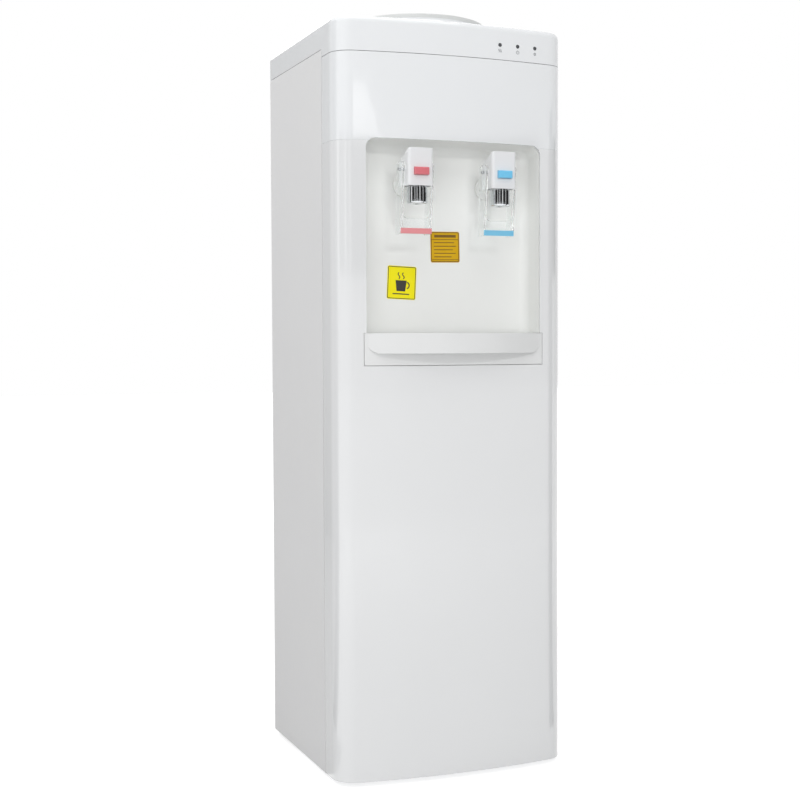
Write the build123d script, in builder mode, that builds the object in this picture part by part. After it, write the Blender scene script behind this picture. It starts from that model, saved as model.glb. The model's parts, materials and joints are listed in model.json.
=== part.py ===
"""Floor-standing water dispenser with a hot tap, a cold tap and a drip tray.

Millimetres. Z is up, the front faces -Y, and X runs to the right as seen from the front.
The origin is on the floor under the middle of the casing.
"""
import math
import os

from build123d import *

os.makedirs("parts", exist_ok=True)

# Casing
casing_width = 320.0
casing_depth = 297.0
front_bow = 14.4
corner_radius = 28.0
casing_bottom = 6.0
casing_top = 971.0
cover_band = 44.0
side_wrap = 66.5
side_lap = 10.0
seam_gap = 0.6
shell = 3.0
top_thickness = 4.0
top_rounding = 8.0
sheet = 1.0
sheet_gap = 0.4
flange_width = 14.0
rear_panel_bottom = 236.0
overall_reach = 24.0
half_width = casing_width / 2
front = -casing_depth / 2
back = casing_depth / 2
bow_radius = (half_width**2 + front_bow**2) / (2 * front_bow)
bow_centre = front + bow_radius
band_seam = casing_top - cover_band
side_seam = front + side_wrap
side_top = band_seam + side_lap
rear_panel_face = back - sheet

# Base
foot_height = 8.0
foot_radius = 14.0
foot_inset_x = 50.0
foot_inset_y = 53.5
stud_radius = 3.0
pan_thickness = 1.5
pan_rim = 14.0
hole_clearance = 0.3
part_gap = 0.4
running = 0.06
foot_spacing_x = casing_width - 2 * foot_inset_x
foot_spacing_y = casing_depth - 2 * foot_inset_y
pan_top = foot_height + pan_thickness

# Bottle collar, seat and probe
collar_radius = 97.0
collar_rise = 14.5
rim_height = 5.5
rim_width = 7.0
rim_rounding = 1.5
flare_width = 33.0
flare_lip = 2.0
flare_bend_out = 9.0
flare_bend_up = 4.0
seat_wall = 3.0
seat_depth = 37.0
cone_drop = 2.0
cone_foot = 1.5
well_radius = 34.0
well_depth = 50.0
spigot_radius = 10.0
spigot_bore = 6.0
spigot_length = 18.0
probe_radius = 8.0
probe_foot = 12.0
probe_bore = 4.0
probe_length = 71.0
collar_step = casing_top + collar_rise
overall_height = collar_step + rim_height
collar_bore = collar_radius - rim_width
flare_radius = collar_radius + flare_width
well_mouth = casing_top - seat_depth
well_floor = well_mouth - well_depth
spigot_end = well_floor - spigot_length
probe_tip = well_floor + probe_length

# Indicators
lens_radius = 2.4
lens_margin = 99.3
lens_pitch = 26.2
lens_drop = 25.0
lens_proud = 0.6
board_setback = 13.0
board_thickness = 1.5
lens_first = half_width - lens_margin
lens_height = casing_top - lens_drop
board_face = front + board_setback

# Niche
niche_margin = 38.5
niche_bottom = 576.0
niche_height = 244.0
niche_corner = 12.0
niche_depth = 42.0
niche_draft = 8.0
header_lap = 3.0
liner_wall = 2.5
liner_ease = 0.8
niche_half = half_width - niche_margin
niche_top = niche_bottom + niche_height
niche_back = front + niche_depth
header_seam = niche_top - header_lap

# Drip tray and grille
tray_lap = 3.0
tray_height = 41.0
tray_gap = 0.6
tray_setback = 3.5
tray_corner = 12.0
tray_wall = 2.5
tray_ledge = 2.0
bay_inset = 2.5
lip_lap = 1.0
lip_rise = 15.0
lip_corner = 18.0
lip_setback = 9.5
grille_thickness = 3.2
slot_width = 4.0
slot_pitch = 9.0
rear_slots = 21
front_slots = 11
tray_half = niche_half + tray_lap
tray_bottom = niche_bottom - tray_height
tray_top = niche_bottom - part_gap
tray_back = niche_back - tray_setback
bay_half = niche_half - bay_inset
lip_half = niche_half + lip_lap
lip_bottom = tray_bottom + lip_rise
lip_side = front + lip_setback

# Taps
tap_spacing = 115.0
housing_proud = 17.5
housing_depth = 29.0
housing_half = 17.0
housing_drop = 13.0
housing_height = 47.0
housing_fall = 14.0
housing_wall = 2.2
housing_rounding = 4.0
nozzle_setback = 14.0
nozzle_radius = 13.0
nozzle_length = 22.0
nozzle_lip = 3.0
nozzle_rounding = 1.5
valve_radius = 9.0
valve_rise = 11.5
neck_rise = 5.5
neck_radius = 5.5
neck_bore = 3.5
neck_reach = 14.5
flange_radius = 15.0
flange_thickness = 3.0
gasket_thickness = 1.0
gasket_inset = 1.0
nut_flats_radius = 11.5
nut_thickness = 6.0
pivot_setback = 23.0
pivot_rise = 22.0
shaft_radius = 2.0
finger_radius = 2.5
finger_half = 3.0
stem_radius = 2.0
stem_head_radius = 4.0
stem_head = 2.2
plug_radius = 5.0
plug_thickness = 3.1
plug_land = 1.5
seat_drop = 5.5
seat_thickness = 2.5
chamber_height = 12.3
chamber_ease = 0.5
spring_rise = 4.5
spring_radius = 4.2
spring_wire = 0.45
spring_turns = 3.5
button_width = 19.0
button_height = 9.5
button_rise = 17.75
button_proud = 5.0
button_flange = 1.2
button_margin = 1.25
button_rounding = 1.5
housing_front = front - housing_proud
housing_top = niche_top - housing_drop
housing_bottom = housing_top - housing_height
nozzle_axis = housing_front + nozzle_setback
nozzle_bottom = housing_bottom - nozzle_length
valve_top = housing_bottom + valve_rise
neck_height = housing_bottom + neck_rise
neck_end = niche_back + neck_reach
pivot_y = housing_front + pivot_setback
pivot_z = housing_bottom + pivot_rise
valve_seat = housing_bottom - seat_drop
chamber_bottom = valve_seat + seat_thickness
chamber_top = chamber_bottom + chamber_height
spring_floor = nozzle_bottom + spring_rise
button_middle = housing_bottom + button_rise

# Push levers
arm_gap = 1.2
arm_thickness = 3.0
lever_rise = 31.0
lever_height = 90.0
lever_setback = 9.0
lever_slope = 9.0
lever_width_top = 21.0
lever_width_bottom = 18.0
cross_height = 19.0
cross_thickness = 3.0
strip_height = 7.0
strip_thickness = 1.0
arm_inner = housing_half + arm_gap
lever_top = housing_bottom + lever_rise
lever_bottom = lever_top - lever_height
lever_front_top = housing_front + lever_setback
lever_front_bottom = lever_front_top + lever_slope
lever_back_top = lever_front_top + lever_width_top
lever_back_bottom = lever_front_bottom + lever_width_bottom
cross_top = lever_bottom + cross_height

# Tanks, shelves and hoses
tank_y = 22.0
tank_wall = 2.0
cold_radius = 68.0
tank_space = 60.0
spigot_entry = 3.0
tank_cap = 3.0
coil_space = 10.0
jacket_wall = 20.0
jacket_floor = 12.0
coil_tube = 3.0
coil_pitch = 16.0
coil_rise = 30.0
coil_margin = 35.0
shelf_thickness = 3.0
shelf_setback = 36.5
shelf_gap = 4.5
hot_radius = 55.0
hot_bottom = 440.0
hot_height = 160.0
band_thickness = 3.5
band_rise = 30.0
band_height = 50.0
hose_radius = 4.5
hose_bore = 3.0
hose_bend = 8.0
hose_end_gap = 0.3
riser_setback = 26.5
cold_outlet_x = 30.0
cold_outlet_rise = 40.0
hot_outlet_x = -25.0
hot_outlet_y = -10.0
hot_turn_rise = 24.0
link_x = 25.0
link_y = 40.0
drain_radius = 6.0
drain_bore = 4.0
drain_bend = 15.0
drain_margin = 65.0
drain_rise = 54.0
drain_top_x = -20.0
drain_top_y = 50.0
drain_reach = 13.5
cap_radius = 12.0
cap_gap = 2.5
cap_length = 16.0
cap_grooves = 12
cap_groove_radius = 1.2
hot_top = hot_bottom + hot_height
cold_bottom = hot_top + tank_space
cold_top = spigot_end + spigot_entry
jacket_top = cold_top - tank_cap
jacket_inside = cold_radius + coil_space
jacket_radius = jacket_inside + jacket_wall
coil_start = cold_bottom + coil_rise
coil_turns = int((cold_top - coil_start - coil_margin) / coil_pitch)
shelf_front = niche_back + shelf_setback
shelf_back = back - shelf_gap
band_bottom = hot_bottom + band_rise
band_top = band_bottom + band_height
riser_y = niche_back + riser_setback
cold_outlet_z = cold_bottom + cold_outlet_rise
hot_turn_z = hot_top + hot_turn_rise
drain_x = drain_margin - half_width
drain_z = rear_panel_bottom + drain_rise
drain_end = back + drain_reach
cap_start = back + cap_gap
cap_end = cap_start + cap_length

# Cooling unit
compressor_radius = 62.0
compressor_setback = 88.5
compressor_height = 162.5
grommet_height = 10.0
grommet_radius = 9.0
mount_plate = 3.0
mount_plate_x = 150.0
mount_plate_y = 110.0
mount_edge = 13.0
weld_rise = 75.5
terminal_depth = 31.0
terminal_width = 43.4
condenser_tube_radius = 2.5
condenser_margin = 55.0
condenser_rise = 104.0
condenser_pitch = 44.0
condenser_drop = 191.0
condenser_wire = 1.0
bend_ease = 1.0
wire_gap = 0.1
wire_spacing = 12.5
wire_edge = 5.0
wire_overhang = 10.0
bracket_x = 60.0
bracket_width = 12.0
bracket_thickness = 1.6
discharge_gap = 7.0
discharge_rise = 52.0
compressor_y = back - compressor_setback
plate_bottom = pan_top + grommet_height
plate_top = plate_bottom + mount_plate
compressor_top = plate_top + compressor_height
weld_height = plate_top + weld_rise
mount_spacing_x = mount_plate_x - 2 * mount_edge
mount_spacing_y = mount_plate_y - 2 * mount_edge
condenser_half = half_width - condenser_margin
condenser_bottom = rear_panel_bottom + condenser_rise
condenser_runs = int((casing_top - condenser_drop - condenser_bottom) / condenser_pitch) + 1
wire_count = 2 * int((condenser_half - wire_edge) / wire_spacing) + 1
discharge_x = condenser_half + discharge_gap
discharge_z = weld_height + discharge_rise

# Switches, gland, screws and vents
switch_margin = 90.0
switch_drop = 91.0
rocker_pitch = 28.0
rocker_half = 6.2
rocker_reach = 11.0
rocker_depth = 4.0
rocker_face = 4.5
rocker_tilt = 8.0
rocker_gap = 0.3
rocker_sink = 1.0
trunnion_radius = 1.5
trunnion_length = 1.2
bezel_proud = 2.0
bezel_margin = 4.0
bezel_body = 18.0
gland_x = 60.0
gland_rise = 26.0
gland_radius = 8.0
gland_flange = 12.0
gland_bore = 4.0
gland_depth = 9.5
gland_length = 21.0
screw_margin = 9.0
screw_low_gap = 54.0
screw_high_gap = 37.0
screw_count = 4
screw_radius = 1.5
screw_head_radius = 4.0
screw_head = 2.0
vent_rows = 6
vent_pitch = 12.0
vent_width = 46.0
vent_height = 4.0
vent_spacing = 64.4
vent_drop = 141.0
vent_margin = 50.0
switch_x = switch_margin - half_width
switch_z = casing_top - switch_drop
rocker_pivot_y = back - rocker_sink
gland_z = rear_panel_bottom + gland_rise
gland_inside = back - gland_depth
gland_outside = gland_inside + gland_length
screw_x = half_width - screw_margin
screw_low = rear_panel_bottom + screw_low_gap
screw_step = (side_top - screw_high_gap - screw_low) / (screw_count - 1)
screw_heights = [screw_low + index * screw_step for index in range(screw_count)]
vent_x = half_width - vent_margin
vent_bottom = casing_top - vent_drop


def facing_front(y):
    """Returns an upright plane at a depth, with local axes X and Z, that looks to the front."""
    return Plane(origin=(0, y, 0), x_dir=(1, 0, 0), z_dir=(0, -1, 0))


def facing_back(y):
    """Returns an upright plane at a depth, with local axes -X and Z, that looks to the back."""
    return Plane(origin=(0, y, 0), x_dir=(-1, 0, 0), z_dir=(0, 1, 0))


def bow(x, inset=0.0):
    """Returns the depth of the bowed front at a place across it."""
    return bow_centre - math.sqrt((bow_radius - inset) ** 2 - x**2)


def casing_plan(inset):
    """Returns the casing's plan moved in by a distance: flat back and sides, bowed front, round corners."""
    half = half_width - inset
    shoulder = bow(half, inset)
    with BuildSketch() as plan:
        with BuildLine():
            Polyline((-half, shoulder), (-half, back - inset), (half, back - inset), (half, shoulder))
            ThreePointArc((half, shoulder), (0, front + inset), (-half, shoulder))
        make_face()
        fillet(plan.vertices().group_by(Axis.Y)[0], corner_radius - inset)
    return plan.sketch


def tray_plan(half_width, inset):
    """Returns the tray's plan moved in by a distance: bulged front, straight sides and back."""
    half = half_width - inset
    with BuildSketch() as plan:
        with BuildLine():
            rear = tray_back - inset
            Polyline((half, lip_side), (half, rear), (-half, rear), (-half, lip_side))
            ThreePointArc((-half, lip_side), (0, front - overall_reach + inset), (half, lip_side))
        make_face()
        fillet(plan.vertices().group_by(Axis.Y)[-1], tray_corner - inset)
    return plan.sketch


def save(piece, name):
    """Labels a finished piece and writes it to its own STEP file."""
    piece.label = name
    export_step(piece, f"parts/{name}.step")


outer_plan = casing_plan(0)
inner_plan = casing_plan(shell)
liner_limit = casing_plan(shell + part_gap)
behind_seam = Location((0, side_seam + casing_depth / 2))

# Base pan: a plate with an upturned rim, on four feet
with BuildPart() as base_pan:
    with BuildSketch(Plane.XY.offset(foot_height)):
        add(liner_limit)
    extrude(amount=pan_rim)
    with BuildSketch(Plane.XY.offset(pan_top)):
        add(casing_plan(shell + part_gap + pan_thickness))
    extrude(amount=pan_rim, mode=Mode.SUBTRACT)
    with BuildSketch(Plane.XY.offset(foot_height)):
        with GridLocations(foot_spacing_x, foot_spacing_y, 2, 2):
            Circle(stud_radius + hole_clearance)
    extrude(amount=pan_thickness, mode=Mode.SUBTRACT)
save(base_pan.part, "base_pan")

with BuildPart() as feet:
    with BuildSketch():
        with GridLocations(foot_spacing_x, foot_spacing_y, 2, 2):
            Circle(foot_radius)
    extrude(amount=foot_height)
    with BuildSketch(Plane.XY.offset(foot_height)):
        with GridLocations(foot_spacing_x, foot_spacing_y, 2, 2):
            Circle(stud_radius)
    extrude(amount=2 * pan_thickness)
save(feet.part, "feet")


def front_opening():
    """Cuts the niche and the tray's slot through the front moulding that is open."""
    with BuildSketch(facing_front(0)) as opening:
        with Locations((0, (niche_top + niche_bottom) / 2)):
            niche = Rectangle(2 * niche_half, niche_top - niche_bottom)
        fillet(niche.vertices().group_by(Axis.Y)[-1], niche_corner)
        with Locations((0, (tray_bottom - tray_gap + niche_bottom) / 2)):
            Rectangle(2 * (tray_half + tray_gap), niche_bottom - tray_bottom + tray_gap)
    extrude(opening.sketch, amount=casing_depth, mode=Mode.SUBTRACT)


def front_moulding(bottom, top):
    """Adds a stretch of the bowed front shell, back to the side seams, and cuts the opening in it."""
    with BuildSketch(Plane.XY.offset(bottom)) as wall:
        add(outer_plan)
        add(inner_plan, mode=Mode.SUBTRACT)
        with Locations(behind_seam):
            Rectangle(2 * casing_width, casing_depth, mode=Mode.SUBTRACT)
    extrude(wall.sketch, amount=top - bottom)
    front_opening()


with BuildPart() as front_panel:
    front_moulding(casing_bottom, header_seam - seam_gap / 4)
save(front_panel.part, "front_panel")

with BuildPart() as header_panel:
    front_moulding(header_seam + seam_gap / 4, band_seam - seam_gap / 2)
save(header_panel.part, "header_panel")

# Top cover: front band, thin rear edge, flared bottle collar
with BuildPart() as top_cover:
    with BuildSketch(Plane.XY.offset(band_seam + seam_gap / 2)):
        add(outer_plan)
    extrude(amount=casing_top - band_seam - seam_gap / 2)
    fillet(top_cover.faces().sort_by(Axis.Z)[-1].edges(), top_rounding)
    with BuildSketch(Plane.XY.offset(band_seam)):
        add(inner_plan)
    extrude(amount=casing_top - top_thickness - band_seam, mode=Mode.SUBTRACT)
    with BuildSketch(Plane.XY.offset(band_seam)):
        with Locations(behind_seam):
            Rectangle(2 * casing_width, casing_depth)
    extrude(amount=side_top - band_seam, mode=Mode.SUBTRACT)
    with BuildSketch(Plane.XZ):
        with BuildLine():
            Polyline((flare_radius, casing_top), (flare_radius, casing_top - top_thickness / 2),
                     (collar_bore - seat_wall, casing_top - top_thickness / 2),
                     (collar_bore - seat_wall, collar_step), (collar_radius, collar_step),
                     (collar_radius, collar_step - flare_lip))
            ThreePointArc((collar_radius, collar_step - flare_lip),
                          (collar_radius + flare_bend_out, casing_top + flare_bend_up),
                          (flare_radius, casing_top))
        make_face()
    revolve(axis=Axis.Z)
    with BuildSketch(Plane.XY.offset(band_seam)):
        Circle(collar_bore)
    extrude(amount=overall_height - band_seam, mode=Mode.SUBTRACT)
    with BuildSketch(facing_front(front / 2)):
        for index in range(3):
            with Locations((lens_first + index * lens_pitch, lens_height)):
                Circle(lens_radius + part_gap / 4)
    extrude(amount=casing_depth, mode=Mode.SUBTRACT)
save(top_cover.part, "top_cover")

with BuildPart() as bottle_seat:
    with BuildSketch(Plane.XZ):
        with BuildLine():
            Polyline((spigot_bore, spigot_end), (spigot_radius, spigot_end),
                     (spigot_radius, well_floor - seat_wall),
                     (well_radius + seat_wall, well_floor - seat_wall),
                     (well_radius + seat_wall, well_mouth - cone_foot),
                     (collar_bore - part_gap, casing_top - cone_drop),
                     (collar_bore - part_gap, collar_step), (collar_radius, collar_step),
                     (collar_radius, overall_height), (collar_bore - part_gap - seat_wall, overall_height),
                     (collar_bore - part_gap - seat_wall, casing_top), (well_radius, well_mouth),
                     (well_radius, well_floor), (spigot_bore, well_floor), close=True)
        make_face()
    revolve(axis=Axis.Z)
    fillet(bottle_seat.edges().filter_by(GeomType.CIRCLE).group_by(Axis.Z)[-1], rim_rounding)
save(bottle_seat.part, "bottle_seat")

with BuildPart() as bottle_probe:
    with BuildSketch(Plane.XZ):
        with BuildLine():
            Polyline((probe_bore, well_floor), (probe_foot, well_floor),
                     (probe_foot, well_floor + seat_wall), (probe_radius, well_floor + 2 * seat_wall),
                     (probe_radius, probe_tip - probe_radius), (seat_wall, probe_tip), (0, probe_tip),
                     (0, probe_tip - seat_wall), (probe_bore, probe_tip - probe_radius), close=True)
        make_face()
    revolve(axis=Axis.Z)
    with BuildSketch(facing_front(2 * probe_radius)):
        with Locations((0, probe_tip - 3 * probe_radius)):
            Circle(probe_radius / 3)
    extrude(amount=4 * probe_radius, mode=Mode.SUBTRACT)
save(bottle_probe.part, "bottle_probe")


# Side sheets with a folded rear flange, which the rear panel screws to
def side_panel(name, side):
    """Makes one side sheet, on the left for -1 and on the right for 1."""
    sheet_front = side_seam + seam_gap
    flange_face = rear_panel_face - sheet_gap / 2
    with BuildPart() as panel:
        with BuildSketch(Plane.XY.offset(casing_bottom)):
            with Locations((side * (half_width - sheet / 2), (sheet_front + back) / 2)):
                Rectangle(sheet, back - sheet_front)
            with Locations((side * (half_width - flange_width / 2), flange_face - sheet / 2)):
                Rectangle(flange_width, sheet)
        extrude(amount=side_top - seam_gap - casing_bottom)
        with BuildSketch(facing_back(flange_face - 2 * sheet)):
            for height in screw_heights:
                with Locations((-side * screw_x, height)):
                    Circle(screw_radius + hole_clearance)
        extrude(amount=2 * sheet, mode=Mode.SUBTRACT)
    save(panel.part, name)


side_panel("left_side_panel", -1)
side_panel("right_side_panel", 1)

bezel_half_x = rocker_pitch / 2 + rocker_half + bezel_margin
bezel_half_z = rocker_reach + rocker_face + bezel_margin / 2
with BuildPart() as rear_panel:
    with BuildSketch(facing_back(rear_panel_face)):
        with Locations((0, (rear_panel_bottom + side_top - seam_gap) / 2)):
            Rectangle(2 * (half_width - sheet - sheet_gap), side_top - seam_gap - rear_panel_bottom)
        with Locations((-switch_x, switch_z)):
            Rectangle(2 * (bezel_half_x + hole_clearance), 2 * (bezel_half_z + hole_clearance),
                      mode=Mode.SUBTRACT)
        with Locations((-drain_x, drain_z)):
            Circle(drain_radius + hole_clearance, mode=Mode.SUBTRACT)
        with Locations((-gland_x, gland_z)):
            Circle(gland_radius + hole_clearance, mode=Mode.SUBTRACT)
        for side in (-1, 1):
            for height in screw_heights:
                with Locations((side * screw_x, height)):
                    Circle(screw_radius + hole_clearance, mode=Mode.SUBTRACT)
        for row in range(vent_rows):
            for column in (-1, 0):
                with Locations((-vent_x - column * vent_spacing, vent_bottom + row * vent_pitch)):
                    SlotOverall(vent_width, vent_height, mode=Mode.SUBTRACT)
    extrude(amount=sheet)
save(rear_panel.part, "rear_panel")

with BuildPart() as rear_screws:
    with BuildSketch(facing_back(back)):
        for side in (-1, 1):
            for height in screw_heights:
                with Locations((side * screw_x, height)):
                    Circle(screw_head_radius)
    extrude(amount=screw_head)
    with BuildSketch(facing_back(back - 3 * sheet)):
        for side in (-1, 1):
            for height in screw_heights:
                with Locations((side * screw_x, height)):
                    Circle(screw_radius)
    extrude(amount=3 * sheet)
save(rear_screws.part, "rear_screws")

with BuildPart() as indicator_lenses:
    for index in range(3):
        lens_x = lens_first + index * lens_pitch
        with BuildSketch(facing_front(board_face - part_gap / 4)):
            with Locations((lens_x, lens_height)):
                Circle(lens_radius)
        extrude(amount=board_face - part_gap / 4 - bow(lens_x) + lens_proud)
save(indicator_lenses.part, "indicator_lenses")

with BuildPart() as indicator_board:
    with BuildSketch(facing_back(board_face)):
        with Locations((-lens_first - lens_pitch, lens_height)):
            Rectangle(3 * lens_pitch, 6 * lens_radius)
    extrude(amount=board_thickness)
save(indicator_board.part, "indicator_board")


# Niche liner: drafted bay with round corners over a straight slot for the tray
def niche_block(margin, mode):
    """Adds or cuts the drafted bay of the niche, moved out by a margin."""
    depth = niche_back - front + margin
    half = niche_half + liner_ease + margin
    top = niche_top + liner_ease + margin
    with BuildSketch(facing_back(front)) as mouth:
        with Locations((0, (top + tray_bottom) / 2)):
            Rectangle(2 * half, top - tray_bottom)
    block = extrude(mouth.sketch, amount=depth, taper=niche_draft, mode=Mode.PRIVATE)
    rear_edges = block.faces().sort_by(Axis.Y)[-1].edges().sort_by(Axis.Z)[1:]
    long_edges = block.faces().sort_by(Axis.Z)[-1].edges().sort_by(Axis.X)
    rounded = block.fillet(niche_corner + margin, [*rear_edges, long_edges[0], long_edges[-1]])
    add(rounded, mode=mode)


def tray_slot(margin, mode):
    """Adds or cuts the straight slot that the tray slides in, moved out by a margin."""
    half = tray_half + tray_gap + part_gap + margin
    with BuildSketch(facing_back(front)) as slot:
        with Locations((0, (niche_bottom + tray_bottom - part_gap) / 2)):
            Rectangle(2 * half, niche_bottom - tray_bottom + part_gap + 2 * margin)
    extrude(slot.sketch, amount=niche_back - front + margin, mode=mode)


with BuildPart() as niche_liner:
    niche_block(liner_wall, Mode.ADD)
    tray_slot(liner_wall, Mode.ADD)
    niche_block(0, Mode.SUBTRACT)
    tray_slot(0, Mode.SUBTRACT)
    with BuildSketch(Plane.XY.offset(tray_bottom - casing_depth)):
        add(liner_limit)
    extrude(amount=casing_top, mode=Mode.INTERSECT)
    with BuildSketch(facing_back(niche_back)):
        for side in (-1, 1):
            with Locations((side * tap_spacing / 2, neck_height)):
                Circle(neck_radius + hole_clearance)
    extrude(amount=liner_wall, mode=Mode.SUBTRACT)
save(niche_liner.part, "niche_liner")

# Drip tray: bulged lip in front, plain plate under it, well behind
with BuildPart() as drip_tray:
    with BuildSketch(Plane.XY.offset(lip_bottom)):
        add(tray_plan(lip_half, 0))
    extrude(amount=tray_top - lip_bottom)
    with BuildSketch(facing_front(0)):
        with Locations((0, tray_top - (tray_top - lip_bottom) / 2)):
            lip = Rectangle(2 * lip_half, tray_top - lip_bottom)
        fillet(lip.vertices().group_by(Axis.Y)[0], lip_corner)
    extrude(amount=casing_depth, mode=Mode.INTERSECT)
    with BuildSketch(Plane.XY.offset(tray_bottom)):
        add(outer_plan)
        add(inner_plan, mode=Mode.SUBTRACT)
        with Locations((0, front)):
            Rectangle(2 * tray_half, corner_radius, mode=Mode.INTERSECT)
    extrude(amount=tray_top - tray_bottom)
    with BuildSketch(Plane.XY.offset(tray_bottom)):
        add(outer_plan)
        with Locations((0, (front + tray_back) / 2)):
            Rectangle(2 * lip_half, tray_back - front, mode=Mode.INTERSECT)
    extrude(amount=tray_top - tray_bottom)
    well_side = bay_half - tray_wall - tray_ledge
    well_back = tray_back - tray_wall - tray_ledge
    with BuildSketch(Plane.XY.offset(tray_bottom + tray_wall)):
        add(inner_plan)
        with Locations((0, (front + well_back) / 2)):
            Rectangle(2 * well_side, well_back - front, mode=Mode.INTERSECT)
    extrude(amount=tray_top - tray_bottom, mode=Mode.SUBTRACT)
    with BuildSketch(Plane.XY.offset(lip_bottom + tray_wall)):
        add(tray_plan(bay_half, tray_wall + tray_ledge))
    extrude(amount=tray_top - lip_bottom, mode=Mode.SUBTRACT)
    with BuildSketch(Plane.XY.offset(tray_top - grille_thickness)):
        add(tray_plan(bay_half, tray_wall))
    extrude(amount=2 * grille_thickness, mode=Mode.SUBTRACT)
save(drip_tray.part, "drip_tray")

with BuildPart() as drip_grille:
    with BuildSketch(Plane.XY.offset(tray_top - grille_thickness)):
        add(tray_plan(bay_half, tray_wall + part_gap))
        slot_length = well_back - lip_side - 2 * tray_ledge
        with Locations((0, (well_back + lip_side) / 2)):
            with GridLocations(slot_pitch, slot_pitch, rear_slots, 1):
                Rectangle(slot_width, slot_length, mode=Mode.SUBTRACT)
        with Locations((0, lip_side - slot_length / 2 + tray_ledge)):
            with GridLocations(slot_pitch, slot_pitch, front_slots, 1):
                Rectangle(slot_width, slot_length / 2, mode=Mode.SUBTRACT)
    extrude(amount=grille_thickness)
save(drip_grille.part, "drip_grille")


# Taps
def round_cut(centre_x, centre_y, radius, bottom, top):
    """Cuts an upright round hole in the part that is open."""
    with BuildSketch(Plane.XY.offset(bottom)) as hole:
        with Locations((centre_x, centre_y)):
            Circle(radius)
    extrude(hole.sketch, amount=top - bottom, mode=Mode.SUBTRACT)


def lever_front(height):
    """Returns the depth of a lever's sloping front edge at a height."""
    share = (height - lever_bottom) / (lever_top - lever_bottom)
    return lever_front_bottom + share * (lever_front_top - lever_front_bottom)


def upright_profile(x, points, width):
    """Extrudes a closed side-view outline of (y, z) points to a width about a place across the front."""
    with BuildSketch(Plane.YZ.offset(x - width / 2)) as profile:
        with BuildLine():
            Polyline(*points, close=True)
        make_face()
    extrude(profile.sketch, amount=width)


def tap_shell(prefix, x):
    """Makes the housing, valve body, nozzle, gasket and nut of a tap, which stay still."""
    housing_back = housing_front + housing_depth
    with BuildPart() as housing:
        upright_profile(x, [(housing_front, housing_bottom), (housing_front, housing_top),
                            (housing_back, housing_top - housing_fall), (housing_back, housing_bottom)],
                        2 * housing_half)
        upright = housing.edges().filter_by(Axis.Z).group_by(Axis.Y)[0]
        fillet(upright, housing_rounding)
        inner_front = housing_front + housing_wall
        inner_back = housing_back - housing_wall
        with BuildSketch(Plane.YZ.offset(x - housing_half + housing_wall)):
            with BuildLine():
                Polyline((inner_front, housing_bottom), (inner_front, housing_top - 2 * housing_wall),
                         (inner_back, housing_top - housing_fall - housing_wall),
                         (inner_back, housing_bottom), close=True)
            make_face()
        extrude(amount=2 * (housing_half - housing_wall), mode=Mode.SUBTRACT)
        with BuildSketch(Plane.YZ.offset(x - housing_half)):
            with Locations((pivot_y, pivot_z)):
                Circle(shaft_radius + running)
        extrude(amount=2 * housing_half, mode=Mode.SUBTRACT)
        with BuildSketch(facing_front(inner_front)):
            with Locations((x, button_middle)):
                Rectangle(button_width + 2 * hole_clearance, button_height + 2 * hole_clearance)
        extrude(amount=2 * housing_wall, mode=Mode.SUBTRACT)
        with BuildSketch(facing_back(inner_back)):
            with Locations((-x, neck_height)):
                Circle(neck_radius + hole_clearance)
        extrude(amount=housing_wall, mode=Mode.SUBTRACT)
    save(housing.part, f"{prefix}_tap_housing")

    flange_front = niche_back - gasket_thickness - flange_thickness
    with BuildPart() as valve_body:
        with BuildSketch(Plane.XY.offset(nozzle_bottom + nozzle_lip)):
            with Locations((x, nozzle_axis)):
                Circle(valve_radius)
        extrude(amount=valve_top - nozzle_bottom - nozzle_lip)
        with BuildSketch(facing_back(nozzle_axis)):
            with Locations((-x, neck_height)):
                Circle(neck_radius)
        extrude(amount=neck_end - nozzle_axis)
        with BuildSketch(facing_back(flange_front)):
            with Locations((-x, neck_height)):
                Circle(flange_radius)
        extrude(amount=flange_thickness)
        round_cut(x, nozzle_axis, spring_radius - spring_wire, nozzle_bottom, spring_floor)
        round_cut(x, nozzle_axis, plug_radius + plug_land, spring_floor, valve_seat)
        round_cut(x, nozzle_axis, plug_radius - plug_land, valve_seat, chamber_bottom)
        round_cut(x, nozzle_axis, plug_radius + chamber_ease, chamber_bottom, chamber_top)
        round_cut(x, nozzle_axis, stem_radius + running, chamber_top, valve_top)
        with BuildSketch(facing_back(nozzle_axis)):
            with Locations((-x, neck_height)):
                Circle(neck_bore)
        extrude(amount=neck_end - nozzle_axis, mode=Mode.SUBTRACT)
    save(valve_body.part, f"{prefix}_valve_body")

    with BuildPart() as nozzle:
        with BuildSketch(Plane.XY.offset(nozzle_bottom)):
            with Locations((x, nozzle_axis)):
                Circle(nozzle_radius)
        extrude(amount=housing_bottom - part_gap / 2 - nozzle_bottom)
        fillet(nozzle.edges().group_by(Axis.Z)[0], nozzle_rounding)
        round_cut(x, nozzle_axis, valve_radius + running, nozzle_bottom + nozzle_lip, housing_bottom)
        round_cut(x, nozzle_axis, plug_radius, nozzle_bottom, nozzle_bottom + nozzle_lip)
    save(nozzle.part, f"{prefix}_nozzle")

    with BuildPart() as gasket:
        with BuildSketch(facing_back(niche_back - gasket_thickness)):
            with Locations((-x, neck_height)):
                Circle(flange_radius - gasket_inset)
                Circle(neck_radius + hole_clearance, mode=Mode.SUBTRACT)
        extrude(amount=gasket_thickness)
    save(gasket.part, f"{prefix}_tap_gasket")

    with BuildPart() as nut:
        with BuildSketch(facing_back(niche_back + liner_wall)):
            with Locations((-x, neck_height)):
                RegularPolygon(nut_flats_radius, 6)
                Circle(neck_radius + running, mode=Mode.SUBTRACT)
        extrude(amount=nut_thickness)
    save(nut.part, f"{prefix}_tap_nut")


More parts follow.
